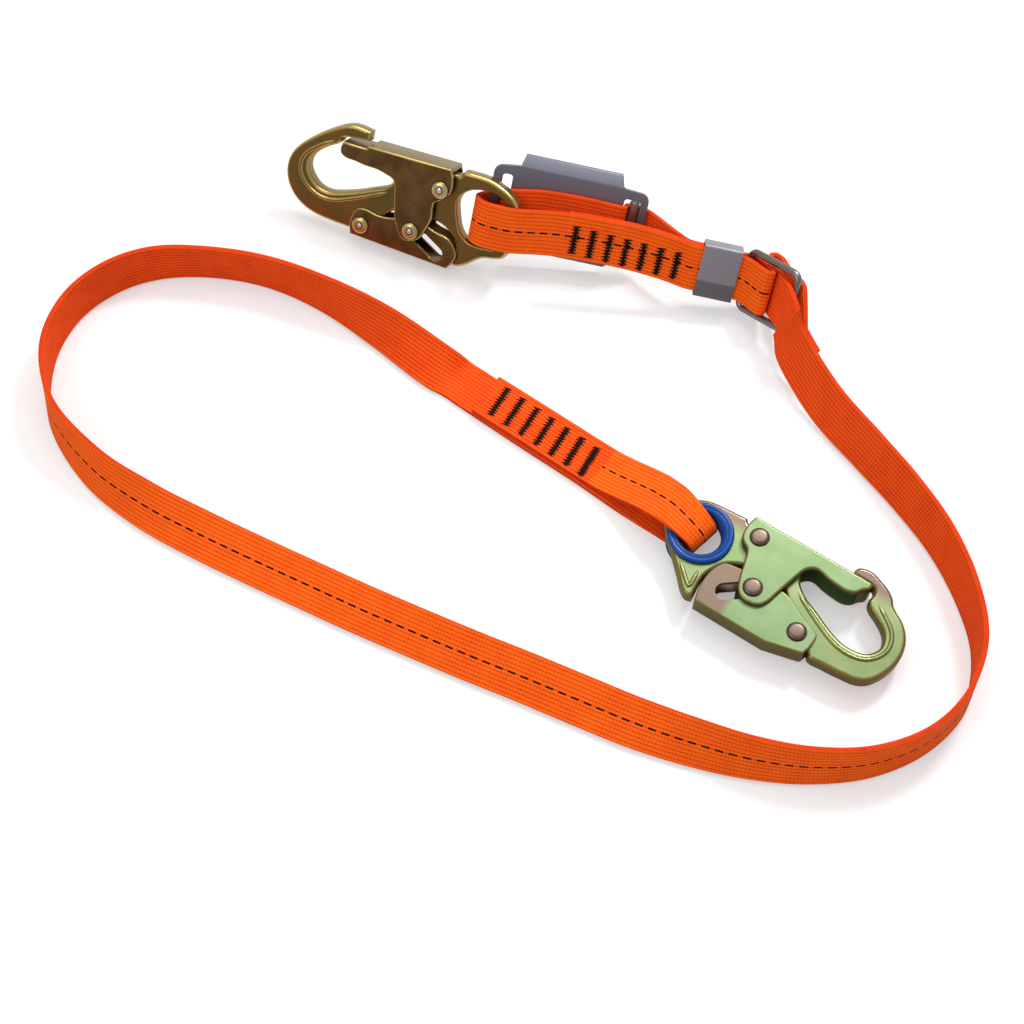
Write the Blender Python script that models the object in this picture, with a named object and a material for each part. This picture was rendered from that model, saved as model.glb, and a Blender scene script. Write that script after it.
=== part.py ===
"""Adjustable positioning lanyard: orange webbing laid in a loop between two steel snap hooks.

All sizes are in millimetres and are turned to metres when a mesh is made. The long run of
webbing stands on its edge on the floor, z = 0. Hook B lies flat; hook A, the adjuster, the
keeper and the ring stand leaning back beside each other at the far side of the loop.

A hook has its own frame: a runs from the eye to the nose, p from the lever to the gate and
q through the plates, with the main rivet at the origin. The strap assembly beside hook A has
its own frame too: t runs along the strap, d to the strap's back and w across its width.
"""
import math
from dataclasses import dataclass

import bmesh
import bpy
import numpy as np
from mathutils import Matrix, Vector
from mathutils.geometry import tessellate_polygon

MM = 0.001
GAP = 0.3                    # clearance between touching pieces

# Webbing
WEB_WIDTH = 25.4
WEB_THICKNESS = 2.4
WEB_EDGE = 0.5               # bevel of the selvedge
LAYER_PITCH = WEB_THICKNESS + GAP
END_GAP = 0.4                # gap between two cut ends that meet
LONG_STEP = 15.0             # spacing of the sections along the long run
LOOP_STEP = 3.4              # spacing where the webbing turns tightly
STRAIGHT = 8.0               # spacing, and least length, of the straighter stretches

# Hook plates and rivets
BODY_HALF = 4.2
LEVER_INNER = BODY_HALF + GAP
LEVER_PLATE = 1.6
LEVER_OUTER = LEVER_INNER + LEVER_PLATE
GATE_INNER = LEVER_OUTER + GAP
GATE_PLATE = 2.2
GATE_OUTER = GATE_INNER + GATE_PLATE
RIVET_RADIUS = 3.0
PIVOT_RADIUS = 2.6
HEAD_RADIUS = 4.6
HEAD_HEIGHT = 1.3
EDGE = 0.7                   # bevel of the forged body

# Bushing of hook B
BUSHING_CENTRE = (-27.3, -10.6)
BUSHING_BORE = 10.75
BUSHING_BARREL = 13.9
BUSHING_RADIUS = 17.0
BUSHING_LIP = 2.0
BUSHING_HALF = BODY_HALF + GAP + BUSHING_LIP

# Strap assembly beside hook A
EYE_BAR = (-39.0, -9.0)      # centre of hook A's eye bar in the hook's frame
FRONT_D = -6.6               # front layer of the strap
PLATE_D = 8.5                # front face of the adjuster's plate
PLATE_THICKNESS = 2.0
SLOT_LEFT = (-8.0, -2.6)
SLOT_RIGHT = (58.6, 67.4)
SLOT_W = (-8.8, 25.4)
ROLLER_RADIUS = 2.7
KEEPER_T = (105.0, 126.0)
KEEPER_W = 1.2
KEEPER_WALL = 1.2
KEEPER_CLEAR = 1.0
RING_ROD = 2.0
RING_LENGTH = 38.0
RING_HEIGHT = 36.0
RING_TURN = -45.0            # degrees from the strap towards its front
RING_BAR = (131.0, -2.8)     # left bar of the ring in the strap's frame

# Places, with the floor at z = 0
HOOK_B_RIVET = (123.84, -23.29, 10.4)
HOOK_B_HEADING = -29.2
HOOK_A_RIVET = (-35.76, 176.94, 38.3)
HOOK_A_HEADING = 156.3
HOOK_A_LEAN = 53.1
STRAP_HEADING = -10.04
STRAP_PITCH = -6.33
FRAME_ORIGIN = (34.166, 57.361, 0.2)

# Long run: lower edge x, y, height above the floor, and lean in degrees to the right of travel
LONG_ROUTE = [
    (142.5, 83.5, 7.2, -31), (158.5, 53.0, 2.2, -34), (179.0, 25.5, 1.1, -31),
    (197.0, 1.1, 1.0, -26), (212.5, -24.0, 1.1, -19), (223.5, -52.0, 1.1, -11),
    (228.0, -80.0, 1.1, -2), (220.5, -108.0, 1.1, 7), (200.0, -129.0, 1.1, 10),
    (172.0, -141.5, 1.1, 16), (141.5, -145.0, 1.1, 24), (111.5, -142.5, 1.1, 35),
    (83.0, -136.0, 1.1, 48), (55.5, -127.0, 1.3, 58), (28.5, -115.5, 1.3, 62),
    (1.5, -103.5, 1.3, 61), (-25.5, -92.0, 1.3, 61), (-52.5, -80.0, 1.3, 62),
    (-80.0, -67.5, 1.3, 65), (-108.0, -54.0, 1.3, 67), (-136.5, -40.0, 1.3, 66),
    (-165.5, -25.0, 1.3, 61), (-194.0, -8.0, 1.3, 51), (-221.5, 16.0, 1.1, 33),
    (-242.5, 50.0, 1.1, 13), (-246.5, 85.0, 1.1, 0), (-237.0, 113.5, 1.1, -5),
    (-218.0, 132.5, 1.1, -8), (-193.5, 142.5, 1.1, -8), (-163.5, 143.5, 1.1, -5),
    (-132.5, 136.5, 1.1, -8), (-103.0, 121.0, 1.1, -18), (-76.0, 99.5, 1.3, -40),
    (-50.0, 76.5, 1.3, -64),
]
LONG_START = (154.5, -33.0, -9.0)           # in the strap's frame
LONG_START_ACROSS = (0.38, 0.10, 0.90)
# Lap of webbing round hook B's bushing: x, y, z, width
LAP_ROUTE = [
    (-22.5, 73.0, 1.5, 25.4), (10.0, 48.5, 1.5, 25.4), (40.0, 26.5, 1.5, 25.4),
    (64.0, 7.5, 1.5, 25.0), (79.0, -5.0, 1.5, 22.0), (87.5, -12.5, 1.5, 19.6),
    (92.5, -17.0, 2.4, 18.8), (95.6, -19.7, 5.4, 18.6), (96.7, -20.7, 9.6, 18.6),
    (95.6, -19.6, 13.7, 18.8), (92.4, -16.8, 17.0, 19.6), (87.5, -11.6, 18.5, 21.4),
    (81.0, -4.4, 18.2, 23.6), (73.0, 3.4, 14.6, 25.2), (62.0, 12.6, 8.6, 25.4),
    (52.0, 19.8, 5.2, 25.4), (41.5, 27.4, 4.2, 25.4), (14.0, 47.4, 4.2, 25.4),
    (-14.0, 67.6, 4.2, 25.4),
]
# Adjuster strap: t, d, w of its middle, from its sewn end to its free end
STRAP_ROUTE = [
    (31.0, -3.9, 4.2), (50.0, -3.9, 4.8), (69.0, -3.9, 4.8), (88.0, -3.9, 3.2),
    (98.0, -3.9, 1.5), (104.0, -3.9, 1.2), (115.0, -3.9, 1.2), (123.6, -3.9, 1.2), (126.8, -2.1, 0.8),
    (128.4, 0.3, 0.4), (131.2, 1.2, 0.0), (134.8, -0.5, 0.0), (138.0, -5.0, 0.0), (141.2, -10.5, 0.0),
    (143.0, -15.0, 0.0), (142.6, -18.4, 0.0), (139.8, -19.4, 0.0), (137.0, -16.0, 0.0),
    (134.3, -11.5, 0.0), (131.0, -8.0, 0.4), (126.5, -6.65, 1.0), (115.0, -6.6, 1.2),
    (104.0, -6.6, 1.2), (98.0, -6.6, 1.5), (88.0, -6.6, 3.2), (69.0, -6.6, 4.8), (49.0, -6.6, 4.8),
    (26.0, -6.6, 3.6), (10.0, -6.7, 1.2), (1.0, -6.9, 0.0), (-9.0, -6.6, 0.0),
    (-14.8, -4.6, 0.0), (-18.4, 0.4, 0.0), (-18.7, 5.8, 0.0), (-15.8, 10.6, 0.3),
    (-11.0, 13.0, 1.6), (-6.9, 12.2, 3.2), (-5.4, 9.5, 4.4), (-3.9, 6.9, 5.4),
    (0.6, 6.3, 6.4), (15.0, 6.6, 8.8), (32.0, 6.7, 9.7), (48.0, 6.5, 9.7),
    (56.5, 6.2, 9.6), (59.0, 6.7, 9.5), (60.1, 8.2, 9.5), (60.2, 9.8, 9.4),
    (60.7, 12.0, 9.4), (62.4, 13.7, 9.3), (67.0, 14.0, 9.0), (74.0, 11.8, 8.2),
    (86.0, 4.6, 4.6), (95.0, -0.4, 2.0), (99.0, -1.2, 1.4), (106.0, -1.2, 1.2),
    (116.0, -1.2, 1.2),
    (123.6, -1.2, 1.2),
]
# Loop of the long run round the ring's right bar: t, d, w, from the long run to the lap
RING_LOOP_ROUTE = [
    (151.7, -28.4, -2.5), (149.0, -22.5, -1.1), (147.4, -19.0, -0.6), (145.7, -13.5, -0.1),
    (144.3, -8.0, 0.2), (143.0, -3.0, 0.4), (142.0, 1.0, 0.6), (142.4, 5.6, 1.2),
    (145.4, 7.6, 1.4), (148.6, 4.6, 1.0), (150.2, -1.0, 0.6), (151.8, -6.5, 0.3),
    (154.6, -14.0, 0.0), (158.2, -21.0, -0.8), (159.9, -26.8, -3.0),
]
LAP_FROM = 10.5              # stretch of the long run on which the ring loop's end is sewn
LAP_TO = 25.0
LAP_SIDE = -1.0              # side of the long run on which it lies
LAP_LIFT = 1.05 * LAYER_PITCH


@dataclass
class HookShape:
    """Outlines of one snap hook in its own frame, in millimetres."""

    body: list
    window: list
    gate: list
    gate_rim: list
    lever: list
    lever_rim: list
    pin: tuple
    pivot: tuple
    slot: tuple


def remove_start_objects():
    """Remove whatever the new file holds."""
    for item in list(bpy.data.objects):
        bpy.data.objects.remove(item, do_unlink=True)


def paint(name, colour, roughness, metallic):
    """Make a sub-part's own material."""
    made = bpy.data.materials.new(name)
    made.use_nodes = True
    shader = made.node_tree.nodes["Principled BSDF"]
    shader.inputs["Base Color"].default_value = (*colour, 1.0)
    shader.inputs["Roughness"].default_value = roughness
    shader.inputs["Metallic"].default_value = metallic
    return made


ORANGE = (0.95, 0.14, 0.015)
GREEN_ZINC = (0.42, 0.62, 0.30)
BROWN_ZINC = (0.22, 0.15, 0.06)
GREY = (0.20, 0.20, 0.23)
BLUE = (0.01, 0.08, 0.45)
STEEL = (0.40, 0.39, 0.38)

FRAMES = {}                  # world frame of each empty, in metres


def finish(name, mesh, place, colour, roughness=0.5, metallic=0.0):
    """Put a mesh, made in millimetres in the frame place, into the scene as a named object.

    The object's origin is the frame's own origin, so a moving piece turns about it.
    """
    made = bpy.data.objects.new(name, mesh)
    bpy.context.scene.collection.objects.link(made)
    made.data.materials.append(paint(name + "_paint", colour, roughness, metallic))
    made.parent = place
    mesh.shade_smooth()
    mesh.set_sharp_from_angle(angle=math.radians(35))
    return made


def empty(name, matrix, parent=None):
    """Add an empty whose world frame is matrix, given in millimetres."""
    made = bpy.data.objects.new(name, None)
    bpy.context.scene.collection.objects.link(made)
    world = matrix.copy()
    world.translation = world.translation * MM
    if parent is not None:
        made.parent = parent
        world = FRAMES[parent.name].inverted() @ world
    made.matrix_basis = world
    FRAMES[name] = (FRAMES[parent.name] @ world) if parent is not None else world.copy()
    return made


def frame(origin, x_axis, y_axis):
    """Return the matrix of a frame from its origin and its first two axes."""
    x_axis = Vector(x_axis).normalized()
    y_axis = Vector(y_axis)
    y_axis = (y_axis - x_axis * y_axis.dot(x_axis)).normalized()
    z_axis = x_axis.cross(y_axis)
    rotation = Matrix((x_axis, y_axis, z_axis)).transposed()
    return Matrix.Translation(Vector(origin) - Vector(FRAME_ORIGIN)) @ rotation.to_4x4()


def heading(degrees, lift=0.0):
    """Return the unit vector of a heading from +X and a lift above the floor."""
    turn = math.radians(degrees)
    up = math.radians(lift)
    return Vector((math.cos(turn) * math.cos(up), math.sin(turn) * math.cos(up), math.sin(up)))


def mesh_from(name, verts, faces):
    """Make a closed mesh, in metres, with its faces turned outwards."""
    mesh = bpy.data.meshes.new(name)
    mesh.from_pydata([Vector(v) * MM for v in verts], [], faces)
    work = bmesh.new()
    work.from_mesh(mesh)
    bmesh.ops.remove_doubles(work, verts=work.verts, dist=1e-6)
    bmesh.ops.recalc_face_normals(work, faces=work.faces)
    work.to_mesh(mesh)
    work.free()
    return mesh


def circle(centre, radius, sides=20):
    """Return a circle's points."""
    return [(centre[0] + radius * math.cos(math.tau * k / sides),
             centre[1] + radius * math.sin(math.tau * k / sides)) for k in range(sides)]


def arc(centre, radius, start, end, steps):
    """Return the points of an arc between two angles in degrees."""
    turns = [math.radians(start + (end - start) * k / steps) for k in range(steps + 1)]
    return [(centre[0] + radius * math.cos(t), centre[1] + radius * math.sin(t)) for t in turns]


def stadium(start, end, radius, steps=6):
    """Return the outline of a slot with round ends."""
    turn = math.degrees(math.atan2(end[1] - start[1], end[0] - start[0]))
    return (arc(end, radius, turn - 90, turn + 90, steps)
            + arc(start, radius, turn + 90, turn + 270, steps))


def turned(outline, anticlockwise):
    """Return the outline in the wanted turning sense."""
    area = sum(a[0] * b[1] - b[0] * a[1] for a, b in zip(outline, outline[1:] + outline[:1]))
    return list(outline) if (area > 0) == anticlockwise else list(outline)[::-1]


def inset(outline, width):
    """Move each point of an outline to the left of its path by width."""
    moved = []
    count = len(outline)
    for k in range(count):
        here = Vector(outline[k])
        before = (here - Vector(outline[k - 1])).normalized()
        after = (Vector(outline[(k + 1) % count]) - here).normalized()
        normal = Vector((-before.y - after.y, before.x + after.x))
        if normal.length < 1e-6:
            normal = Vector((-before.y, before.x)) * 2
        normal.normalize()
        lean = max(0.5, normal.dot(Vector((-before.y, before.x))))
        moved.append(tuple(here + normal * (width / lean)))
    return moved


def plate(name, outline, holes, low, high, bevel):
    """Make a plate between two heights from an outline with holes, its edges bevelled."""
    loops = [turned(outline, True)] + [turned(hole, False) for hole in holes]
    drawn = [inset(loop, bevel) for loop in loops]
    levels = [(low, drawn), (low + bevel, loops), (high - bevel, loops), (high, drawn)]
    verts = [(*point, z) for z, rings in levels for ring in rings for point in ring]
    size = sum(len(loop) for loop in loops)
    faces = []
    start = 0
    for loop in loops:
        count = len(loop)
        for level in range(3):
            base = level * size + start
            for k in range(count):
                n = (k + 1) % count
                faces.append((base + k, base + n, base + n + size, base + k + size))
        start += count
    caps = tessellate_polygon([[Vector((*p, 0)) for p in loop] for loop in drawn])
    faces += [tuple(reversed(t)) for t in caps]
    faces += [tuple(3 * size + v for v in t) for t in caps]
    return mesh_from(name, verts, faces)


def lathe(name, profile, centre=(0, 0), steps=24):
    """Turn a closed (radius, height) profile; points on the axis become poles."""
    verts = []
    rows = []
    for radius, height in profile:
        sides = 1 if radius < 1e-6 else steps
        rows.append((len(verts), sides))
        for k in range(sides):
            turn = math.tau * k / steps
            verts.append((centre[0] + radius * math.cos(turn),
                          centre[1] + radius * math.sin(turn), height))
    faces = []
    closed = profile[0][0] > 1e-6
    pairs = list(zip(rows, rows[1:] + rows[:1])) if closed else list(zip(rows, rows[1:]))
    for (low, low_sides), (high, high_sides) in pairs:
        for k in range(steps):
            n = (k + 1) % steps
            quad = [low + k % low_sides, low + n % low_sides, high + n % high_sides,
                    high + k % high_sides]
            quad = [v for i, v in enumerate(quad) if v not in quad[:i]]
            if len(quad) > 2:
                faces.append(quad)
    return mesh_from(name, verts, faces)


def smooth(points, step):
    """Sample a smooth curve through points of any dimension.

    Args:
        points: the curve's points, x, y and z first.
        step: the spacing of the samples in space, or one spacing for each stretch.
    """
    points = np.array(points, float)
    steps = np.broadcast_to(step, len(points) - 1)
    padded = np.vstack([2 * points[0] - points[1], points, 2 * points[-1] - points[-2]])
    out = []
    for k in range(1, len(padded) - 2):
        p0, p1, p2, p3 = padded[k - 1:k + 3]
        count = max(1, round(float(np.linalg.norm((p2 - p1)[:3])) / steps[k - 1]))
        for j in range(count):
            u = j / count
            out.append(0.5 * (2 * p1 + (p2 - p0) * u + (2 * p0 - 5 * p1 + 4 * p2 - p3) * u ** 2
                              + (3 * p1 - p0 - 3 * p2 + p3) * u ** 3))
    out.append(points[-1])
    return np.array(out)


def unit(vector):
    """Return a vector, or an array of them, at unit length."""
    return vector / np.linalg.norm(vector, axis=-1, keepdims=True)


def strip(name, middles, across, widths):
    """Make webbing as one closed strip through sections.

    Args:
        middles: the middle of each section.
        across: the unit direction of each section's width.
        widths: the width of each section.
    """
    run = unit(np.gradient(middles, axis=0))
    normal = unit(np.cross(run, across))
    half = WEB_THICKNESS / 2
    verts = []
    for middle, side, up, width in zip(middles, across, normal, widths):
        wide = width / 2
        section = [(-wide, -half + WEB_EDGE), (-wide + WEB_EDGE, -half),
                   (wide - WEB_EDGE, -half), (wide, -half + WEB_EDGE),
                   (wide, half - WEB_EDGE), (wide - WEB_EDGE, half),
                   (-wide + WEB_EDGE, half), (-wide, half - WEB_EDGE)]
        verts += [tuple(middle + side * x + up * y) for x, y in section]
    sides = 8
    faces = [tuple(range(sides)), tuple(len(verts) - sides + k for k in range(sides))]
    for row in range(len(middles) - 1):
        base = row * sides
        for k in range(sides):
            n = (k + 1) % sides
            faces.append((base + k, base + n, base + n + sides, base + k + sides))
    return mesh_from(name, verts, faces)


HOOK_B = HookShape(
    body=[(-10.2, 9.0), (-22.5, 9.1)] + arc(BUSHING_CENTRE, 19.6, 96, 187, 8) + [
        (-43.7, -17.6), (-35.2, -26.6), (-28.2, -34.6), (-21.4, -42.6), (-18.4, -44.0),
        (-15.6, -43.4), (-15.6, -31.0), (-13.4, -26.0), (-9.6, -20.4), (-4.0, -17.0),
        (4.0, -14.6), (12.0, -14.2), (20.0, -16.0), (24.5, -19.5), (28.0, -26.0),
        (30.4, -33.0), (30.4, -41.2), (46.4, -42.2), (48.4, -44.5), (54.7, -44.9),
        (67.5, -44.8), (72.8, -44.4), (78.2, -42.2), (82.4, -37.5), (86.3, -29.8),
        (87.8, -20.7), (86.1, -12.3), (81.6, -5.5), (73.8, 0.7), (72.0, 3.9), (68.6, 7.3),
        (61.8, 11.0), (57.3, 12.8), (52.7, 12.6), (50.0, 11.4), (48.9, 9.0), (49.2, 6.3),
        (54.0, 5.9), (60.6, 4.9), (61.9, 3.6), (62.2, 1.0), (61.6, -2.4), (63.1, -5.3),
        (69.0, -9.4), (74.2, -13.8), (76.4, -17.8), (76.8, -22.7), (74.8, -26.4),
        (71.4, -29.1), (65.4, -30.1), (59.5, -29.3), (51.5, -26.0), (41.4, -20.1),
        (32.5, -15.0), (28.3, -10.5), (26.0, -4.9), (14.5, 0.4), (2.7, 5.8), (-8.4, 6.7)],
    window=circle(BUSHING_CENTRE, BUSHING_BARREL + GAP, 32),
    gate=[(-6.4, 9.6), (-7.6, 6.2), (-8.2, -2.4), (-6.4, -5.8), (-2.8, -8.6), (-1.0, -15.2),
          (0.8, -24.9), (3.0, -31.0), (6.4, -33.9), (12.2, -34.4), (16.0, -32.9),
          (18.3, -30.0), (21.1, -22.1), (24.3, -12.9), (27.3, -5.3), (29.5, -3.0),
          (32.4, -1.9), (38.8, -3.7), (45.0, -5.0), (49.9, -5.5), (54.0, -4.3),
          (57.1, -0.9), (59.5, 1.0), (60.4, 4.1), (53.5, 5.1), (48.7, 5.4), (34.1, 6.6),
          (14.5, 8.1), (4.6, 8.8), (-3.5, 9.6)],
    gate_rim=[(-20.0, 7.7), (-3.5, 7.7), (4.6, 7.0), (14.5, 6.3), (34.1, 4.8), (48.7, 3.6),
              (55.5, 3.2), (55.5, -60.0), (-20.0, -60.0)],
    lever=[(-13.7, -45.2), (-14.4, -40.7), (-14.7, -33.4), (-13.8, -27.5), (-11.0, -21.4),
           (-9.0, -19.7), (-6.5, -19.1), (22.5, -19.6), (27.8, -21.4), (35.7, -26.4),
           (47.0, -32.6), (47.4, -34.5), (45.4, -44.2), (44.4, -45.2)],
    lever_rim=[(-30.0, -43.4), (60.0, -43.4), (60.0, 0.0), (-30.0, 0.0)],
    pin=(8.8, -26.3), pivot=(37.7, -36.1),
    slot=((8.8, -26.3), (-2.6, -34.1), 4.4))

HOOK_A = HookShape(
    body=[(-9.5, 12.7), (-23.0, 13.3), (-30.8, 11.5), (-37.2, 8.8), (-41.4, 5.8),
          (-43.2, 2.4), (-43.2, -23.0), (-41.4, -26.6), (-36.6, -28.6), (-30.3, -30.4),
          (-22.6, -36.9), (-17.8, -39.8), (-14.9, -40.2), (-14.9, -30.0), (-12.5, -25.4),
          (-6.0, -20.8), (3.0, -18.8), (14.0, -18.5), (20.5, -19.6), (26.5, -23.5),
          (31.0, -31.0), (31.2, -38.6), (37.0, -39.8), (46.0, -40.2), (55.5, -40.3), (67.4, -39.8),
          (75.7, -37.9), (83.6, -33.2), (88.7, -26.5), (90.7, -19.6), (90.2, -12.9),
          (87.1, -6.3), (80.0, 1.6), (69.3, 10.2), (61.7, 14.9), (56.4, 16.4),
          (46.6, 15.9), (46.4, 10.6), (59.2, 8.6), (61.8, 7.4), (62.3, 4.9), (69.0, -0.1),
          (75.5, -6.0), (78.0, -10.6), (78.0, -15.2), (75.1, -19.8), (69.9, -23.6),
          (63.9, -24.3), (58.3, -22.8), (48.5, -18.9), (39.9, -14.5), (29.6, -8.4),
          (27.5, -2.9), (22.0, 0.5), (12.9, 4.7), (3.0, 8.4), (-7.6, 9.8)],
    window=[(-34.8, 4.6), (-28.3, 6.6), (-16.1, 4.2), (-10.9, -0.4), (-9.4, -5.1),
            (-11.2, -12.5), (-14.8, -20.4), (-19.8, -24.0), (-26.1, -24.6), (-34.8, -23.6)],
    gate=[(-3.5, 12.8), (-5.8, 6.6), (-6.0, 0.3), (-3.0, -4.4), (1.8, -8.0), (1.9, -11.7),
          (1.2, -16.1), (3.3, -25.2), (5.8, -30.8), (10.0, -33.6), (14.6, -34.2),
          (17.4, -32.2), (22.3, -22.7), (25.3, -8.9), (26.2, -5.5), (28.0, -3.4),
          (31.5, -2.4), (37.5, -1.4), (45.0, -1.6), (50.9, -1.1), (56.6, -1.0),
          (59.7, 0.7), (60.4, 3.2), (59.5, 7.2), (45.6, 7.9), (44.5, 9.6)],
    gate_rim=[(-20.0, 11.0), (-3.5, 11.0), (43.2, 7.8), (44.0, 6.1), (55.5, 5.4),
              (55.5, -60.0), (-20.0, -60.0)],
    lever=[(45.8, -42.4), (47.2, -37.0), (45.8, -28.9), (43.5, -26.4), (39.7, -25.8),
           (31.8, -26.8), (22.9, -25.0), (17.0, -22.4), (6.0, -22.2), (-1.2, -24.3),
           (-10.1, -25.8), (-15.1, -30.6), (-16.4, -33.9), (-14.1, -39.9), (-12.5, -42.4)],
    lever_rim=[(-30.0, -40.6), (60.0, -40.6), (60.0, 0.0), (-30.0, 0.0)],
    pin=(11.3, -27.9), pivot=(40.8, -35.6),
    slot=((11.3, -27.9), (-4.8, -36.2), 4.0))


def cut_channel(piece, name, rim, half, place):
    """Cut a channel's inside out of a piece with a Boolean and a hidden cutter."""
    mesh = plate(name, rim, [], -half, half, 0.0)
    cutter = bpy.data.objects.new(name, mesh)
    bpy.context.scene.collection.objects.link(cutter)
    cutter.parent = place
    cutter.hide_render = True
    cutter.display_type = "WIRE"
    cut = piece.modifiers.new("channel", "BOOLEAN")
    cut.operation = "DIFFERENCE"
    cut.solver = "EXACT"
    cut.object = cutter


def rivet(name, centre, radius, outer, place, colour):
    """Make a rivet, its shank with a domed head at each end, standing in the plates."""
    seat = outer + GAP
    dome = [(HEAD_RADIUS, seat), (HEAD_RADIUS, seat + HEAD_HEIGHT * 0.35),
            (HEAD_RADIUS * 0.86, seat + HEAD_HEIGHT * 0.72),
            (HEAD_RADIUS * 0.5, seat + HEAD_HEIGHT * 0.96), (0.0, seat + HEAD_HEIGHT)]
    upper = [(radius, seat)] + dome
    lower = [(across, -height) for across, height in reversed(upper)]
    return finish(name, lathe(name, lower + upper, centre, 14), place, colour, 0.35, 0.8)


def hook(side, shape, placed, colour, rivet_colour):
    """Make one snap hook: its body, rivets, gate with pin, and lock lever."""
    body_place = empty(f"hook_{side}_place", placed)
    hole = RIVET_RADIUS + GAP
    pivot_hole = PIVOT_RADIUS + GAP
    body = plate(f"hook_{side}_body", shape.body,
                 [shape.window, circle((0, 0), hole), circle(shape.pivot, pivot_hole)],
                 -BODY_HALF, BODY_HALF, EDGE)
    finish(f"hook_{side}_body", body, body_place, colour, 0.35, 0.85)
    rivet(f"hook_{side}_main_rivet", (0, 0), RIVET_RADIUS, GATE_OUTER, body_place,
          rivet_colour)
    rivet(f"hook_{side}_lever_rivet", shape.pivot, PIVOT_RADIUS, LEVER_OUTER,
          body_place, rivet_colour)

    gate_place = empty(f"gate_{side}_place", placed)
    gate = plate(f"gate_{side}", shape.gate, [circle((0, 0), hole), circle(shape.pin, hole)],
                 -GATE_OUTER, GATE_OUTER, 0.5)
    gate = finish(f"gate_{side}", gate, gate_place, colour, 0.35, 0.85)
    cut_channel(gate, f"gate_{side}_channel", shape.gate_rim, GATE_INNER, gate_place)
    rivet(f"gate_{side}_pin", shape.pin, RIVET_RADIUS, GATE_OUTER, gate_place, rivet_colour)

    pivot = placed @ Matrix.Translation((*shape.pivot, 0.0))
    lever_place = empty(f"lever_{side}_place", pivot)

    def from_pivot(points):
        return [(x - shape.pivot[0], y - shape.pivot[1]) for x, y in points]

    start, end, radius = shape.slot
    lever = plate(f"lock_lever_{side}", from_pivot(shape.lever),
                  [circle((0, 0), pivot_hole), from_pivot(stadium(start, end, radius))],
                  -LEVER_OUTER, LEVER_OUTER, 0.4)
    lever = finish(f"lock_lever_{side}", lever, lever_place, colour, 0.35, 0.85)
    cut_channel(lever, f"lever_{side}_channel", from_pivot(shape.lever_rim), LEVER_INNER,
                lever_place)


def bushing(placed):
    """Make the blue spool bushing in hook B's eye."""
    turns = [math.radians(-90 + 180 * k / 8) for k in range(9)]
    throat = BUSHING_RADIUS - 0.8 - BUSHING_BORE
    inner = [(BUSHING_BORE + throat * (1 - math.cos(t)), BUSHING_HALF * math.sin(t))
             for t in turns]
    flange = BODY_HALF + GAP
    outer = [(BUSHING_RADIUS, BUSHING_HALF - 0.8), (BUSHING_RADIUS, flange),
             (BUSHING_BARREL, flange)]
    outer += [(radius, -height) for radius, height in reversed(outer)]
    mesh = lathe("bushing_b", inner + outer, (0, 0), 28)
    centre = placed @ Matrix.Translation((*BUSHING_CENTRE, 0.0))
    finish("bushing_b", mesh, empty("bushing_b_place", centre), BLUE, 0.4)


def plain_frame():
    """Return the empty frame of pieces that are made in world places."""
    return empty("floor_place", Matrix.Translation(-Vector(FRAME_ORIGIN)))


def strap_frame(hook_a):
    """Return the frame of the strap assembly, its origin in the middle of hook A's eye bar."""
    bar = hook_a @ Vector((*EYE_BAR, 0.0))
    along = heading(STRAP_HEADING, STRAP_PITCH)
    across = hook_a.to_3x3() @ Vector((0, 1, 0))
    across = (across - along * across.dot(along)).normalized()
    back = across.cross(along)
    rotation = Matrix((along, back, across)).transposed()
    return Matrix.Translation(bar) @ rotation.to_4x4()


def in_strap_frame(route, placed, step):
    """Return world points of a smooth route given in the strap's frame."""
    gaps = np.linalg.norm(np.diff(np.array(route), axis=0), axis=1)
    local = smooth(route, np.where(gaps > STRAIGHT, STRAIGHT, step))
    world = np.array([placed @ Vector(p) for p in local])
    return world + np.array(FRAME_ORIGIN)


def long_run(placed, floor, lap):
    """Make the long run and return its first sections, on which the ring loop is sewn."""
    start = np.array(placed @ Vector(LONG_START)) + np.array(FRAME_ORIGIN)
    start_across = unit(np.array(LONG_START_ACROSS))
    route = np.array(LONG_ROUTE, float)
    run = unit(np.gradient(route[:, :2], axis=0))
    lean = np.radians(route[:, 3])
    across = np.stack([np.sin(lean) * run[:, 1], -np.sin(lean) * run[:, 0], np.cos(lean)], 1)
    middles = route[:, :3] + across * WEB_WIDTH / 2
    lap_middles, lap_across = lap[:2]
    lap_run = unit(lap_middles[1] - lap_middles[0])
    end = lap_middles[0] - lap_run * END_GAP
    joined = np.hstack([np.vstack([start, middles, end - lap_run * LONG_STEP * 0.6, end]),
                        np.vstack([start_across, across, lap_across[0], lap_across[0]])])
    steps = [LOOP_STEP] + [LONG_STEP] * (len(joined) - 2)
    path = smooth(joined, steps)
    middles, across = path[:, :3], unit(path[:, 3:])
    mesh = strip("long_run", middles, across, [WEB_WIDTH] * len(middles))
    finish("long_run", mesh, floor, ORANGE, 0.7)
    length = np.linalg.norm(np.diff(middles, axis=0), axis=1).sum()
    print("long run length", round(float(length), 1))
    return middles, across


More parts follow.
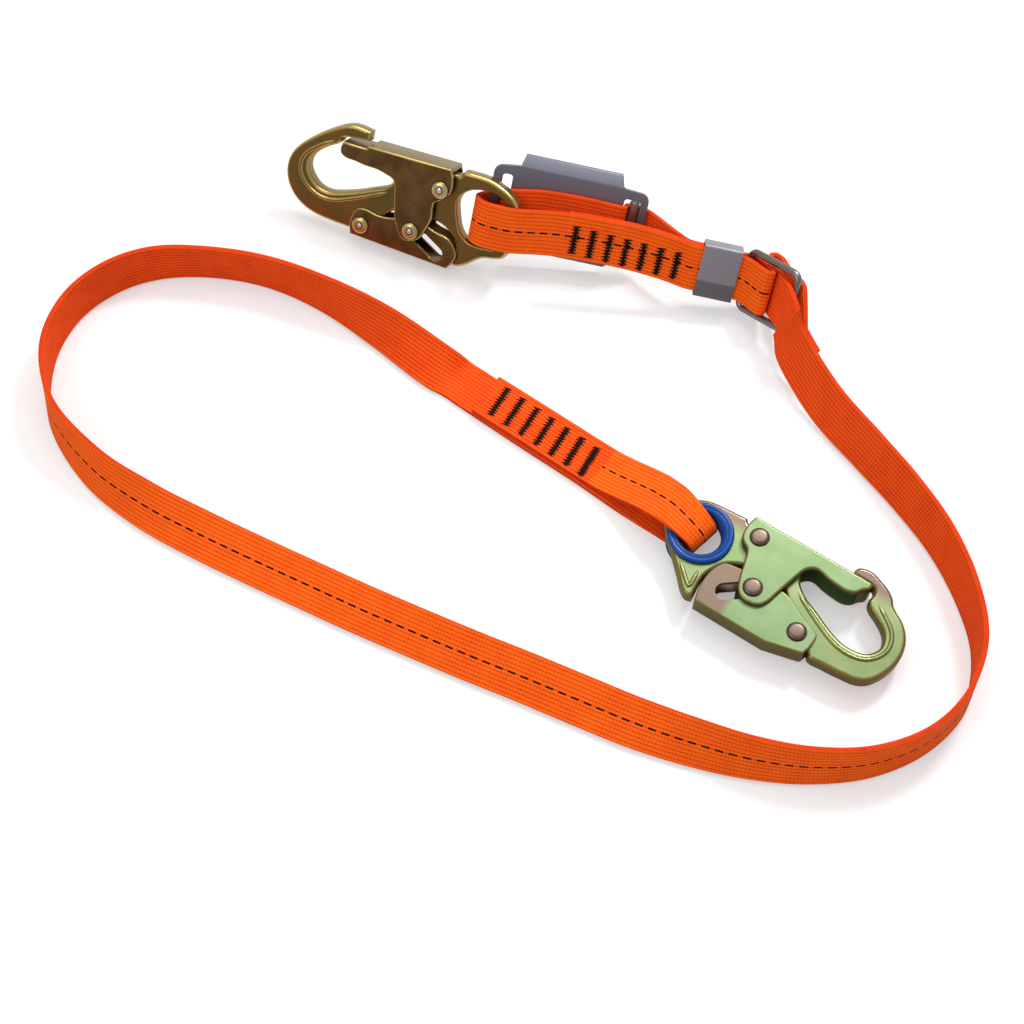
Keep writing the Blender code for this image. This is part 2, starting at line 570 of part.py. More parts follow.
def ring_loop(placed, floor, middles, across):
    """Make the sewn loop round the ring's right bar, its end lapped on the long run."""
    width_line = np.array(placed.to_3x3() @ Vector((0, 0, 1)))
    loop = in_strap_frame(RING_LOOP_ROUTE, placed, LOOP_STEP)
    run = unit(np.gradient(middles, axis=0))
    normal = unit(np.cross(run, across))
    travelled = np.concatenate([[0], np.cumsum(np.linalg.norm(np.diff(middles, axis=0), axis=1))])
    places = np.linspace(LAP_FROM, LAP_TO, 7)

    def along(values):
        return np.stack([np.interp(places, travelled, values[:, k]) for k in range(3)], 1)

    lap = along(middles) + along(normal) * LAP_SIDE * LAP_LIFT
    first = middles[0] - run[0] * END_GAP
    second = first - run[0] * 2 * GAP
    points = np.vstack([first, second, loop, lap])
    turn = np.tile(width_line, (len(loop), 1))
    lines = np.vstack([across[0], across[0], turn, along(across)])
    mesh = strip("ring_loop", points, unit(lines), [WEB_WIDTH] * len(points))
    finish("ring_loop", mesh, floor, ORANGE, 0.7)


def lap_sections():
    """Return the middles, width lines and widths of the webbing round hook B's bushing."""
    gaps = np.linalg.norm(np.diff(np.array(LAP_ROUTE), axis=0), axis=1)
    path = smooth(LAP_ROUTE, np.where(gaps > STRAIGHT, STRAIGHT, LOOP_STEP))
    middles, widths = path[:, :3], path[:, 3]
    flat = np.gradient(middles, axis=0)[:, :2]
    flip = np.sign(flat @ np.array([math.cos(math.radians(-38)), math.sin(math.radians(-38))]))
    steady = unit(smooth_rows(flat * np.where(flip == 0, 1, flip)[:, None]))
    across = np.stack([-steady[:, 1], steady[:, 0], np.zeros(len(steady))], 1)
    return middles, across, widths


def hook_b_loop(floor, lap):
    """Make the lap of webbing that runs under hook B's eye, up through it and back."""
    finish("hook_b_loop", strip("hook_b_loop", *lap), floor, ORANGE, 0.7)


def smooth_rows(rows):
    """Average each direction with its neighbours, so that the width line turns steadily."""
    rows = unit(rows + 1e-9)
    for _ in range(30):
        middle = (rows[:-2] + rows[1:-1] * 2 + rows[2:]) / 4
        rows = np.vstack([rows[:1], middle, rows[-1:]])
    return rows


def adjuster_strap(placed, floor):
    """Make the strap that joins hook A to the ring through the adjuster."""
    points = in_strap_frame(STRAP_ROUTE, placed, LOOP_STEP)
    width_line = np.array(placed.to_3x3() @ Vector((0, 0, 1)))
    across = np.tile(width_line, (len(points), 1))
    mesh = strip("adjuster_strap", points, across, [WEB_WIDTH] * len(points))
    finish("adjuster_strap", mesh, floor, ORANGE, 0.7)


def adjuster(placed):
    """Make the adjuster's plate with its two slots and bent rims, and its roller."""
    # A plate is drawn in t and w, and its thickness lies along d.
    turn = placed @ Matrix(((1, 0, 0, 0), (0, 0, -1, 0), (0, 1, 0, 0), (0, 0, 0, 1)))
    place = empty("adjuster_place", turn)
    low, high = -PLATE_D - PLATE_THICKNESS, -PLATE_D
    outline = [(-13.2, -9.4), (-10.6, -12.6), (-1.0, -13.4), (57.6, -13.4), (68.4, -12.6),
               (71.6, -9.4), (71.6, 27.6), (69.0, 30.0), (58.2, 31.4), (0.0, 31.4),
               (-10.2, 30.2), (-13.2, 27.0)]

    def slot(span):
        return [(span[0], SLOT_W[0] + 1), (span[0] + 1, SLOT_W[0]), (span[1] - 1, SLOT_W[0]),
                (span[1], SLOT_W[0] + 1), (span[1], SLOT_W[1] - 1), (span[1] - 1, SLOT_W[1]),
                (span[0] + 1, SLOT_W[1]), (span[0], SLOT_W[1] - 1)]

    body = plate("adjuster_frame", outline, [slot(SLOT_LEFT), slot(SLOT_RIGHT)], low, high, 0.4)
    body = finish("adjuster_frame", body, place, GREY, 0.5, 0.3)
    for name, edge, rise in (("upper", 31.4, 5.6), ("lower", -13.4, -3.2)):
        corners = [(0.4, edge - rise * 0.12), (57.2, edge - rise * 0.12),
                   (55.2, edge + rise), (2.4, edge + rise)]
        rim = plate(f"adjuster_{name}_rim", corners, [], low, high, 0.4)
        for vert in rim.vertices:
            outside = max(0.0, (vert.co.y / MM - edge) / rise)
            vert.co.z -= outside * 4.5 * MM
        cutter = bpy.data.objects.new(f"adjuster_{name}_rim", rim)
        bpy.context.scene.collection.objects.link(cutter)
        cutter.parent = place
        cutter.hide_render = True
        cutter.display_type = "WIRE"
        joined = body.modifiers.new(name, "BOOLEAN")
        joined.operation = "UNION"
        joined.solver = "EXACT"
        joined.object = cutter

    centre_t = SLOT_RIGHT[1] - GAP - ROLLER_RADIUS
    centre = placed @ Vector((centre_t, PLATE_D + PLATE_THICKNESS / 2, 0.0))
    roller_frame = Matrix.Translation(centre) @ placed.to_3x3().to_4x4()
    roller_place = empty("roller_place", roller_frame)
    low, high = SLOT_W[0] + GAP, SLOT_W[1] - GAP
    profile = [(0.0, low), (ROLLER_RADIUS - 0.6, low), (ROLLER_RADIUS, low + 0.8),
               (ROLLER_RADIUS, high - 0.8), (ROLLER_RADIUS - 0.6, high), (0.0, high)]
    finish("adjuster_roller", lathe("adjuster_roller", profile, (0, 0), 20), roller_place,
           STEEL, 0.3, 0.9)


def keeper(placed):
    """Make the flat metal keeper round the three layers of strap."""
    turn = placed @ Matrix(((0, 0, 1, 0), (-1, 0, 0, 0), (0, -1, 0, 0), (0, 0, 0, 1)))
    middle = (FRONT_D + FRONT_D + 2 * LAYER_PITCH) / 2
    half_d = LAYER_PITCH + WEB_THICKNESS / 2 + GAP
    half_w = WEB_WIDTH / 2 + KEEPER_CLEAR

    def band(grow, round_off):
        x, y = half_d + grow, half_w + grow
        corners = []
        for sx, sy, start in ((1, 1, 0), (-1, 1, 90), (-1, -1, 180), (1, -1, 270)):
            centre = (sx * (x - round_off), sy * (y - round_off))
            corners += arc(centre, round_off, start, start + 90, 3)
        return corners

    place = empty("keeper_place", turn @ Matrix.Translation((-middle, -KEEPER_W, 0.0)))
    mesh = plate("keeper_band", band(KEEPER_WALL, 1.6), [band(0.0, 0.5)],
                 KEEPER_T[0], KEEPER_T[1], 0.25)
    finish("keeper_band", mesh, place, GREY, 0.45, 0.4)


def ring(placed):
    """Make the rectangular ring, a closed rod with round corners."""
    turn = math.radians(RING_TURN)
    along = placed.to_3x3() @ Vector((math.cos(turn), math.sin(turn), 0.0))
    across = placed.to_3x3() @ Vector((0, 0, 1))
    side = along.cross(across)
    origin = placed @ Vector((*RING_BAR, 0.0))
    rotation = Matrix((along, across, side)).transposed()
    place = empty("ring_place", Matrix.Translation(origin) @ rotation.to_4x4())
    length = RING_LENGTH - 2 * RING_ROD
    half = RING_HEIGHT / 2 - RING_ROD
    bend = 4.0
    path = []
    for x, y, start in ((length - bend, half - bend, 0), (bend, half - bend, 90),
                        (bend, bend - half, 180), (length - bend, bend - half, 270)):
        path += arc((x, y), bend, start, start + 90, 5)
    verts = []
    sides = 10
    count = len(path)
    for k, point in enumerate(path):
        here = Vector(point)
        run = (Vector(path[(k + 1) % count]) - Vector(path[k - 1])).normalized()
        out = Vector((run.y, -run.x))
        for j in range(sides):
            angle = math.tau * j / sides
            flat = here + out * (RING_ROD * math.cos(angle))
            verts.append((flat.x, flat.y, RING_ROD * math.sin(angle)))
    faces = []
    for k in range(count):
        m = (k + 1) % count
        for j in range(sides):
            n = (j + 1) % sides
            faces.append((k * sides + j, k * sides + n, m * sides + n, m * sides + j))
    finish("rectangular_ring", mesh_from("rectangular_ring", verts, faces), place, STEEL,
           0.3, 0.9)


def main():
    """Build the lanyard."""
    remove_start_objects()
    floor = plain_frame()
    flat_a = heading(HOOK_B_HEADING)
    hook_b = frame(HOOK_B_RIVET, flat_a, Vector((-flat_a.y, flat_a.x, 0.0)))
    a_axis = heading(HOOK_A_HEADING)
    level = Vector((a_axis.y, -a_axis.x, 0.0))
    lean = math.radians(HOOK_A_LEAN)
    p_axis = level * math.cos(lean) + Vector((0, 0, 1)) * math.sin(lean)
    hook_a = frame(HOOK_A_RIVET, a_axis, p_axis)
    hook("b", HOOK_B, hook_b, GREEN_ZINC, (0.45, 0.40, 0.35))
    hook("a", HOOK_A, hook_a, BROWN_ZINC, (0.50, 0.42, 0.25))
    bushing(hook_b)
    strap = strap_frame(hook_a)
    lap = lap_sections()
    middles, across = long_run(strap, floor, lap)
    ring_loop(strap, floor, middles, across)
    hook_b_loop(floor, lap)
    adjuster_strap(strap, floor)
    adjuster(strap)
    keeper(strap)
    ring(strap)


main()
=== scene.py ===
"""Dress the adjustable webbing lanyard: woven webbing, two plated snap hooks and their fittings.

Sizes are in millimetres, in the frame in which the routes were measured, and turn to metres in
the model's own frame when a mesh is made.
"""
from __future__ import annotations

import logging
import math
import random
from dataclasses import dataclass, field
from enum import Enum

import bpy
import numpy as np
from mathutils import Matrix, Vector
from mathutils.geometry import tessellate_polygon

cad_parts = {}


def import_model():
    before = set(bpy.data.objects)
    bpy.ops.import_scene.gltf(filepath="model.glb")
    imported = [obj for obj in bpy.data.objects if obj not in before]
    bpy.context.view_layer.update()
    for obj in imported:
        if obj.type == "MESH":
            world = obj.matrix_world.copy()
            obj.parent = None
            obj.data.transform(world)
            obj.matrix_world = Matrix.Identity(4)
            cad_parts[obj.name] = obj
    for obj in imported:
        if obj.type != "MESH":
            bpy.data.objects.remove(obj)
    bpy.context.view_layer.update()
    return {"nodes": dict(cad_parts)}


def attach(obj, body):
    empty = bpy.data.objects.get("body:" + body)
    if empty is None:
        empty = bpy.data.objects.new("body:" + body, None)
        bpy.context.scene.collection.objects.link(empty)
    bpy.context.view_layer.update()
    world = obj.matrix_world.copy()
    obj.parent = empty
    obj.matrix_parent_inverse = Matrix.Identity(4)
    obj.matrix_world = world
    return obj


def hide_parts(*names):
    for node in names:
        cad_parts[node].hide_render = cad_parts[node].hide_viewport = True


LOG = logging.getLogger("lanyard")
MM = 0.001
FRAME_ORIGIN = Vector((34.166, 57.361, 0.2))
GAP = 0.3

# Webbing
WEB_WIDTH = 25.4
WEB_THICKNESS = 2.4
LAYER_PITCH = WEB_THICKNESS + GAP
END_GAP = 0.4
LONG_STEP = 15.0
STRAIGHT = 8.0
LOOP_STEP = 3.4
FINE = 6                     # rows of mesh for each section of the route
COLUMNS = 10                 # columns of mesh across one face
SELVEDGE = 0.5

# Plates and rivets of the hooks
BODY_HALF = 4.2
LEVER_INNER = 4.5
LEVER_OUTER = 6.1
GATE_INNER = 6.4
GATE_OUTER = 8.6
RIVET_RADIUS = 3.0
PIVOT_RADIUS = 2.6
HEAD_RADIUS = 4.6
FLAT_RIM = 0.3               # width of the level rim inside a rolled edge
BUSHING_CENTRE = (-27.3, -10.6)

# Strap assembly
EYE_BAR = (-39.0, -9.0)
FRONT_D = -6.6
PLATE_D = 8.5
PLATE_THICKNESS = 2.0
SLOT_LEFT = (-8.0, -2.6)
SLOT_RIGHT = (58.6, 67.4)
SLOT_W = (-8.8, 25.4)

# Camera: the photograph's view, aimed at the middle of the picture
VIEW_LIFT = 64.0
VIEW_DISTANCE = 900.0
VIEW_LENS = 61.38
SENSOR = 36.0
PICTURE = 1024

# Pixels of the picture between which hook B's bars of stitches run: first bar, last bar
TACK_TOP_PIXELS = ((508.6, 388.3), (597.4, 447.5))
TACK_FOOT_PIXELS = ((490.1, 415.1), (579.8, 475.2))

LONG_ROUTE = [
    (142.5, 83.5, 7.2, -31), (158.5, 53.0, 2.2, -34), (179.0, 25.5, 1.1, -31),
    (197.0, 1.1, 1.0, -26), (212.5, -24.0, 1.1, -19), (223.5, -52.0, 1.1, -11),
    (228.0, -80.0, 1.1, -2), (220.5, -108.0, 1.1, 7), (200.0, -129.0, 1.1, 10),
    (172.0, -141.5, 1.1, 16), (141.5, -145.0, 1.1, 24), (111.5, -142.5, 1.1, 35),
    (83.0, -136.0, 1.1, 48), (55.5, -127.0, 1.3, 58), (28.5, -115.5, 1.3, 62),
    (1.5, -103.5, 1.3, 61), (-25.5, -92.0, 1.3, 61), (-52.5, -80.0, 1.3, 62),
    (-80.0, -67.5, 1.3, 65), (-108.0, -54.0, 1.3, 67), (-136.5, -40.0, 1.3, 66),
    (-165.5, -25.0, 1.3, 61), (-194.0, -8.0, 1.3, 51), (-221.5, 16.0, 1.1, 33),
    (-242.5, 50.0, 1.1, 13), (-246.5, 85.0, 1.1, 0), (-237.0, 113.5, 1.1, -5),
    (-218.0, 132.5, 1.1, -8), (-193.5, 142.5, 1.1, -8), (-163.5, 143.5, 1.1, -5),
    (-132.5, 136.5, 1.1, -8), (-103.0, 121.0, 1.1, -18), (-76.0, 99.5, 1.3, -40),
    (-50.0, 76.5, 1.3, -64),
]
LONG_START = (154.5, -33.0, -9.0)
LONG_START_ACROSS = (0.38, 0.10, 0.90)
LAP_ROUTE = [
    (-22.5, 73.0, 1.5, 25.4), (10.0, 48.5, 1.5, 25.4), (40.0, 26.5, 1.5, 25.4),
    (64.0, 7.5, 1.5, 25.0), (79.0, -5.0, 1.5, 22.0), (87.5, -12.5, 1.5, 19.6),
    (92.5, -17.0, 2.4, 18.8), (95.6, -19.7, 5.4, 18.6), (96.7, -20.7, 9.6, 18.6),
    (95.6, -19.6, 13.7, 18.8), (92.4, -16.8, 17.0, 19.6), (87.5, -11.6, 18.5, 21.4),
    (81.0, -4.4, 18.2, 23.6), (73.0, 3.4, 14.6, 25.2), (62.0, 12.6, 8.6, 25.4),
    (52.0, 19.8, 5.2, 25.4), (41.5, 27.4, 4.2, 25.4), (14.0, 47.4, 4.2, 25.4),
    (-14.0, 67.6, 4.2, 25.4),
]
STRAP_ROUTE = [
    (31.0, -3.9, 4.2), (50.0, -3.9, 4.8), (69.0, -3.9, 4.8), (88.0, -3.9, 3.2),
    (98.0, -3.9, 1.5), (104.0, -3.9, 1.2), (115.0, -3.9, 1.2), (123.6, -3.9, 1.2),
    (126.8, -2.1, 0.8), (128.4, 0.3, 0.4), (131.2, 1.2, 0.0), (134.8, -0.5, 0.0),
    (138.0, -5.0, 0.0), (141.2, -10.5, 0.0), (143.0, -15.0, 0.0), (142.6, -18.4, 0.0),
    (139.8, -19.4, 0.0), (137.0, -16.0, 0.0), (134.3, -11.5, 0.0), (131.0, -8.0, 0.4),
    (126.5, -6.65, 1.0), (115.0, -6.6, 1.2), (104.0, -6.6, 1.2), (98.0, -6.6, 1.5),
    (88.0, -6.6, 3.2), (69.0, -6.6, 4.8), (49.0, -6.6, 4.8), (26.0, -6.6, 3.6),
    (10.0, -6.7, 1.2), (1.0, -6.9, 0.0), (-9.0, -6.6, 0.0), (-14.8, -4.6, 0.0),
    (-18.4, 0.4, 0.0), (-18.7, 5.8, 0.0), (-15.8, 10.6, 0.3), (-11.0, 13.0, 1.6),
    (-6.9, 12.2, 3.2), (-5.4, 9.5, 4.4), (-3.9, 6.9, 5.4), (0.6, 6.3, 6.4),
    (15.0, 6.6, 8.8), (32.0, 6.7, 9.7), (48.0, 6.5, 9.7), (56.5, 6.2, 9.6),
    (59.0, 6.7, 9.5), (60.1, 8.2, 9.5), (60.2, 9.8, 9.4), (60.7, 12.0, 9.4),
    (62.4, 13.7, 9.3), (67.0, 14.0, 9.0), (74.0, 11.8, 8.2), (86.0, 4.6, 4.6),
    (95.0, -0.4, 2.0), (99.0, -1.2, 1.4), (106.0, -1.2, 1.2), (116.0, -1.2, 1.2),
    (123.6, -1.2, 1.2),
]
RING_LOOP_ROUTE = [
    (151.7, -28.4, -2.5), (149.0, -22.5, -1.1), (147.4, -19.0, -0.6), (145.7, -13.5, -0.1),
    (144.3, -8.0, 0.2), (143.0, -3.0, 0.4), (142.0, 1.0, 0.6), (142.4, 5.6, 1.2),
    (145.4, 7.6, 1.4), (148.6, 4.6, 1.0), (150.2, -1.0, 0.6), (151.8, -6.5, 0.3),
    (154.6, -14.0, 0.0), (158.2, -21.0, -0.8), (159.9, -26.8, -3.0),
]
LAP_FROM = 10.5
LAP_TO = 25.0
LAP_LIFT = 1.05 * LAYER_PITCH
TRACER_PAST = 47.0           # x of the last bar of stitches beside hook B


class Face(Enum):
    """The face of a strap on which the black tracer is woven, from its run and width line."""

    FRONT = 1
    BACK = -1


def walls(start: int, rows: int, columns: int, closed: bool = False,
          stride: int = 0) -> list[tuple]:
    """Join the rows of a grid of points, each row a closed ring.

    Args:
        start: the number of the grid's first point.
        rows: how many rows there are.
        columns: how many points a row has.
        closed: whether the last row joins the first.
        stride: how far apart the rows start, or 0 where they follow each other.

    Returns:
        The faces, row by row.
    """
    stride = stride or columns
    faces = []
    for row in range(rows if closed else rows - 1):
        base = start + row * stride
        above = start + (row + 1) % rows * stride
        for k in range(columns):
            n = (k + 1) % columns
            faces.append((base + k, base + n, above + n, above + k))
    return faces


def ends(start: int, rows: int, columns: int) -> list[tuple]:
    """Close the first and the last row of a grid of points.

    Args:
        start: the number of the grid's first point.
        rows: how many rows there are.
        columns: how many points a row has.

    Returns:
        The two faces.
    """
    last = start + (rows - 1) * columns
    return [tuple(range(start, start + columns)), tuple(range(last, last + columns))]


def linear(colour: str) -> tuple[float, float, float, float]:
    """Turn an sRGB hex colour to linear values.

    Args:
        colour: six hex digits, with or without a leading #.

    Returns:
        The linear red, green, blue and an alpha of 1.
    """
    digits = colour.lstrip("#")
    out = []
    for k in (0, 2, 4):
        value = int(digits[k:k + 2], 16) / 255
        out.append(value / 12.92 if value <= 0.04045 else ((value + 0.055) / 1.055) ** 2.4)
    return out[0], out[1], out[2], 1.0


def add_node(tree: bpy.types.NodeTree, kind: str, settings: dict | None = None,
             **links: object) -> bpy.types.Node:
    """Add a node with its settings, values and links.

    Args:
        tree: the material's node tree.
        kind: the node's type name.
        settings: attributes of the node.
        links: input names, with spaces as underscores or in_N for a numbered input, each with
            a value or the output socket that feeds it.

    Returns:
        The new node.
    """
    made = tree.nodes.new(kind)
    for name, value in (settings or {}).items():
        setattr(made, name, value)
    for name, value in links.items():
        key = int(name[3:]) if name.startswith("in_") else name.replace("_", " ")
        socket = made.inputs[key]
        if isinstance(value, bpy.types.NodeSocket):
            tree.links.new(value, socket)
        else:
            socket.default_value = value
    return made


def blank_material(name: str) -> tuple[bpy.types.Material, bpy.types.NodeTree]:
    """Make a material with an empty node tree.

    Args:
        name: the material's name.

    Returns:
        The material and its tree.
    """
    made = bpy.data.materials.new(name)
    made.use_nodes = True
    made.node_tree.nodes.clear()
    return made, made.node_tree


def surface(tree: bpy.types.NodeTree, colour: bpy.types.NodeSocket,
            relief: bpy.types.NodeSocket | None = None, strength: float = 0.12,
            depth: float = 0.0001, **values: object) -> None:
    """Give a material its shader and, where it has relief, its bump.

    Args:
        tree: the material's node tree.
        colour: the output that gives the base colour.
        relief: the output that gives the height of the finish.
        strength: how strongly the relief shows.
        depth: the relief's depth in metres.
        values: further inputs of the shader, as for add_node.
    """
    if relief is not None:
        bump = add_node(tree, "ShaderNodeBump", Strength=strength, Distance=depth, Height=relief)
        values["Normal"] = bump.outputs[0]
    close_material(tree, add_node(tree, "ShaderNodeBsdfPrincipled", Base_Color=colour, **values))


def close_material(tree: bpy.types.NodeTree, shader: bpy.types.Node) -> None:
    """Feed a shader to the tree's output.

    Args:
        tree: the material's node tree.
        shader: the node whose first output is the surface.
    """
    output = tree.nodes.new("ShaderNodeOutputMaterial")
    tree.links.new(shader.outputs[0], output.inputs["Surface"])


@dataclass(frozen=True)
class WovenPolyester:
    """Flat-woven polyester webbing: ribs of warp crossed by weft, with painted highlights on the
    ribs and painted shade between them.
    """

    name: str
    traced: bool
    crown: str = "#ff690d"       # top of each rib, where the light catches the yarn
    # The valley colour is painted shade between the ribs; the crown colour is a painted highlight.
    valley: str = "#cc2603"      # between the ribs
    rib: float = 2.1             # mm from rib to rib across the strap
    pick: float = 1.75           # mm from pick to pick along it
    dash: float = 6.7            # mm from one tracer stitch to the next
    dash_part: float = 0.62
    tracer_half: float = 0.52

    def build(self) -> bpy.types.Material:
        """Make the material; its UV map gives millimetres along and across the strap.

        Returns:
            The material.
        """
        material, tree = blank_material(self.name)
        place = add_node(tree, "ShaderNodeUVMap", {"uv_map": "weave"})
        split = add_node(tree, "ShaderNodeSeparateXYZ", in_0=place.outputs[0])
        along, across = split.outputs[0], split.outputs[1]

        def wave(source: bpy.types.NodeSocket, pitch: float,
                 sharpness: float) -> bpy.types.NodeSocket:
            """Return a value that is 1 on a rib and 0 between two ribs."""
            turn = add_node(tree, "ShaderNodeMath", {"operation": "MULTIPLY"}, in_0=source,
                            in_1=math.pi / pitch)
            swing = add_node(tree, "ShaderNodeMath", {"operation": "SINE"}, in_0=turn.outputs[0])
            size = add_node(tree, "ShaderNodeMath", {"operation": "ABSOLUTE"},
                            in_0=swing.outputs[0])
            return add_node(tree, "ShaderNodeMath", {"operation": "POWER"},
                            in_0=size.outputs[0], in_1=sharpness).outputs[0]

        ribs = wave(across, self.rib, 0.45)
        picks = add_node(tree, "ShaderNodeMath", {"operation": "MULTIPLY_ADD"},
                         in_0=wave(along, self.pick, 0.6), in_1=0.42, in_2=0.58)
        cell = add_node(tree, "ShaderNodeMath", {"operation": "MULTIPLY"}, in_0=ribs,
                        in_1=picks.outputs[0])
        drift = add_node(tree, "ShaderNodeTexNoise", {"noise_dimensions": "2D"},
                         Vector=place.outputs[0], Scale=0.09, Detail=2.0)
        fibre = add_node(tree, "ShaderNodeTexNoise", {"noise_dimensions": "2D"},
                         Vector=place.outputs[0], Scale=1.9, Detail=2.0)
        tone = add_node(tree, "ShaderNodeMath", {"operation": "MULTIPLY_ADD"},
                        in_0=drift.outputs[0], in_1=0.34, in_2=-0.17)
        grain = add_node(tree, "ShaderNodeMath", {"operation": "MULTIPLY_ADD"},
                         in_0=fibre.outputs[0], in_1=0.3, in_2=-0.15)
        level = add_node(tree, "ShaderNodeMath", {"operation": "ADD"}, in_0=cell.outputs[0],
                         in_1=tone.outputs[0])
        level = add_node(tree, "ShaderNodeMath", {"operation": "ADD", "use_clamp": True},
                         in_0=level.outputs[0], in_1=grain.outputs[0])
        colour = add_node(tree, "ShaderNodeMix", {"data_type": "RGBA"}, in_0=level.outputs[0],
                          in_6=linear(self.valley), in_7=linear(self.crown)).outputs[2]
        if self.traced:
            centre = add_node(tree, "ShaderNodeMath", {"operation": "ABSOLUTE"}, in_0=across)
            narrow = add_node(tree, "ShaderNodeMath", {"operation": "LESS_THAN"},
                              in_0=centre.outputs[0], in_1=self.tracer_half)
            share = add_node(tree, "ShaderNodeMath", {"operation": "DIVIDE"}, in_0=along,
                             in_1=self.dash)
            part = add_node(tree, "ShaderNodeMath", {"operation": "FRACT"},
                            in_0=share.outputs[0])
            shown = add_node(tree, "ShaderNodeMath", {"operation": "LESS_THAN"},
                             in_0=part.outputs[0], in_1=self.dash_part)
            mask = add_node(tree, "ShaderNodeMath", {"operation": "MULTIPLY"},
                            in_0=narrow.outputs[0], in_1=shown.outputs[0])
            colour = add_node(tree, "ShaderNodeMix", {"data_type": "RGBA"}, in_0=mask.outputs[0],
                              in_6=colour, in_7=linear("#0d0a09")).outputs[2]
        surface(tree, colour, level.outputs[0], 0.55, 0.0004, Roughness=0.8,
                Specular_IOR_Level=0.15)
        return material


@dataclass(frozen=True)
class ZincPlate:
    """Forged or pressed steel, zinc plated and passivated, with a tinted, blotchy film.

    The rolled edges take the edge colour as a painted highlight, and the side walls take the wall
    colour, both set by which way each face turns from the plate.
    """

    name: str
    flat: str
    flat_other: str
    # edge: a painted highlight along the rolled edges; wall: the side walls' own tone.
    edge: str
    wall: str
    axis: tuple[float, float, float]
    metallic: float = 0.75
    roughness: float = 0.34
    blotch: float = 9.0          # mm, size of the film's blotches
    tint: str = ""               # another tint at one end of the piece
    tint_axis: tuple[float, float, float] = (0.0, 0.0, 1.0)
    tint_start: float = 0.0      # metres along tint_axis where the tint is full
    tint_end: float = 1.0

    def build(self) -> bpy.types.Material:
        """Make the material.

        Returns:
            The material.
        """
        material, tree = blank_material(self.name)
        place = add_node(tree, "ShaderNodeTexCoord")
        facing = add_node(tree, "ShaderNodeVectorMath", {"operation": "DOT_PRODUCT"},
                          in_0=place.outputs["Normal"], in_1=self.axis)
        facing = add_node(tree, "ShaderNodeMath", {"operation": "ABSOLUTE"},
                          in_0=facing.outputs["Value"])
        film = add_node(tree, "ShaderNodeTexNoise", Vector=place.outputs["Object"],
                        Scale=1 / (self.blotch * MM), Detail=3.0)
        fine = add_node(tree, "ShaderNodeTexNoise", Vector=place.outputs["Object"],
                        Scale=1 / (0.7 * MM), Detail=2.0)
        spread = add_node(tree, "ShaderNodeMapRange", Value=film.outputs[0], From_Min=0.38,
                          From_Max=0.66)
        flat = add_node(tree, "ShaderNodeMix", {"data_type": "RGBA"}, in_0=spread.outputs[0],
                        in_6=linear(self.flat), in_7=linear(self.flat_other))
        flat = flat.outputs[2]
        if self.tint:
            reach = add_node(tree, "ShaderNodeVectorMath", {"operation": "DOT_PRODUCT"},
                             in_0=place.outputs["Object"], in_1=self.tint_axis)
            share = add_node(tree, "ShaderNodeMapRange", Value=reach.outputs["Value"],
                             From_Min=self.tint_start, From_Max=self.tint_end)
            flat = add_node(tree, "ShaderNodeMix", {"data_type": "RGBA"},
                            in_0=share.outputs[0], in_6=linear(self.tint),
                            in_7=flat).outputs[2]
        # Faces turned a little from the plate, on the rolled edges, take the edge colour as a
        # painted highlight.
        edge_highlight_share = add_node(tree, "ShaderNodeMapRange", Value=facing.outputs[0], From_Min=0.82,
                         From_Max=0.985)
        inner = add_node(tree, "ShaderNodeMix", {"data_type": "RGBA"}, in_0=edge_highlight_share.outputs[0],
                         in_6=linear(self.edge), in_7=flat)
        wall_tone_share = add_node(tree, "ShaderNodeMapRange", Value=facing.outputs[0], From_Min=0.15,
                          From_Max=0.55)
        colour = add_node(tree, "ShaderNodeMix", {"data_type": "RGBA"}, in_0=wall_tone_share.outputs[0],
                          in_6=linear(self.wall), in_7=inner.outputs[2])
        rough = add_node(tree, "ShaderNodeMath", {"operation": "MULTIPLY_ADD"},
                         in_0=film.outputs[0], in_1=0.16, in_2=self.roughness - 0.08)
        surface(tree, colour.outputs[2], fine.outputs[0], Metallic=self.metallic,
                Roughness=rough.outputs[0])
        return material


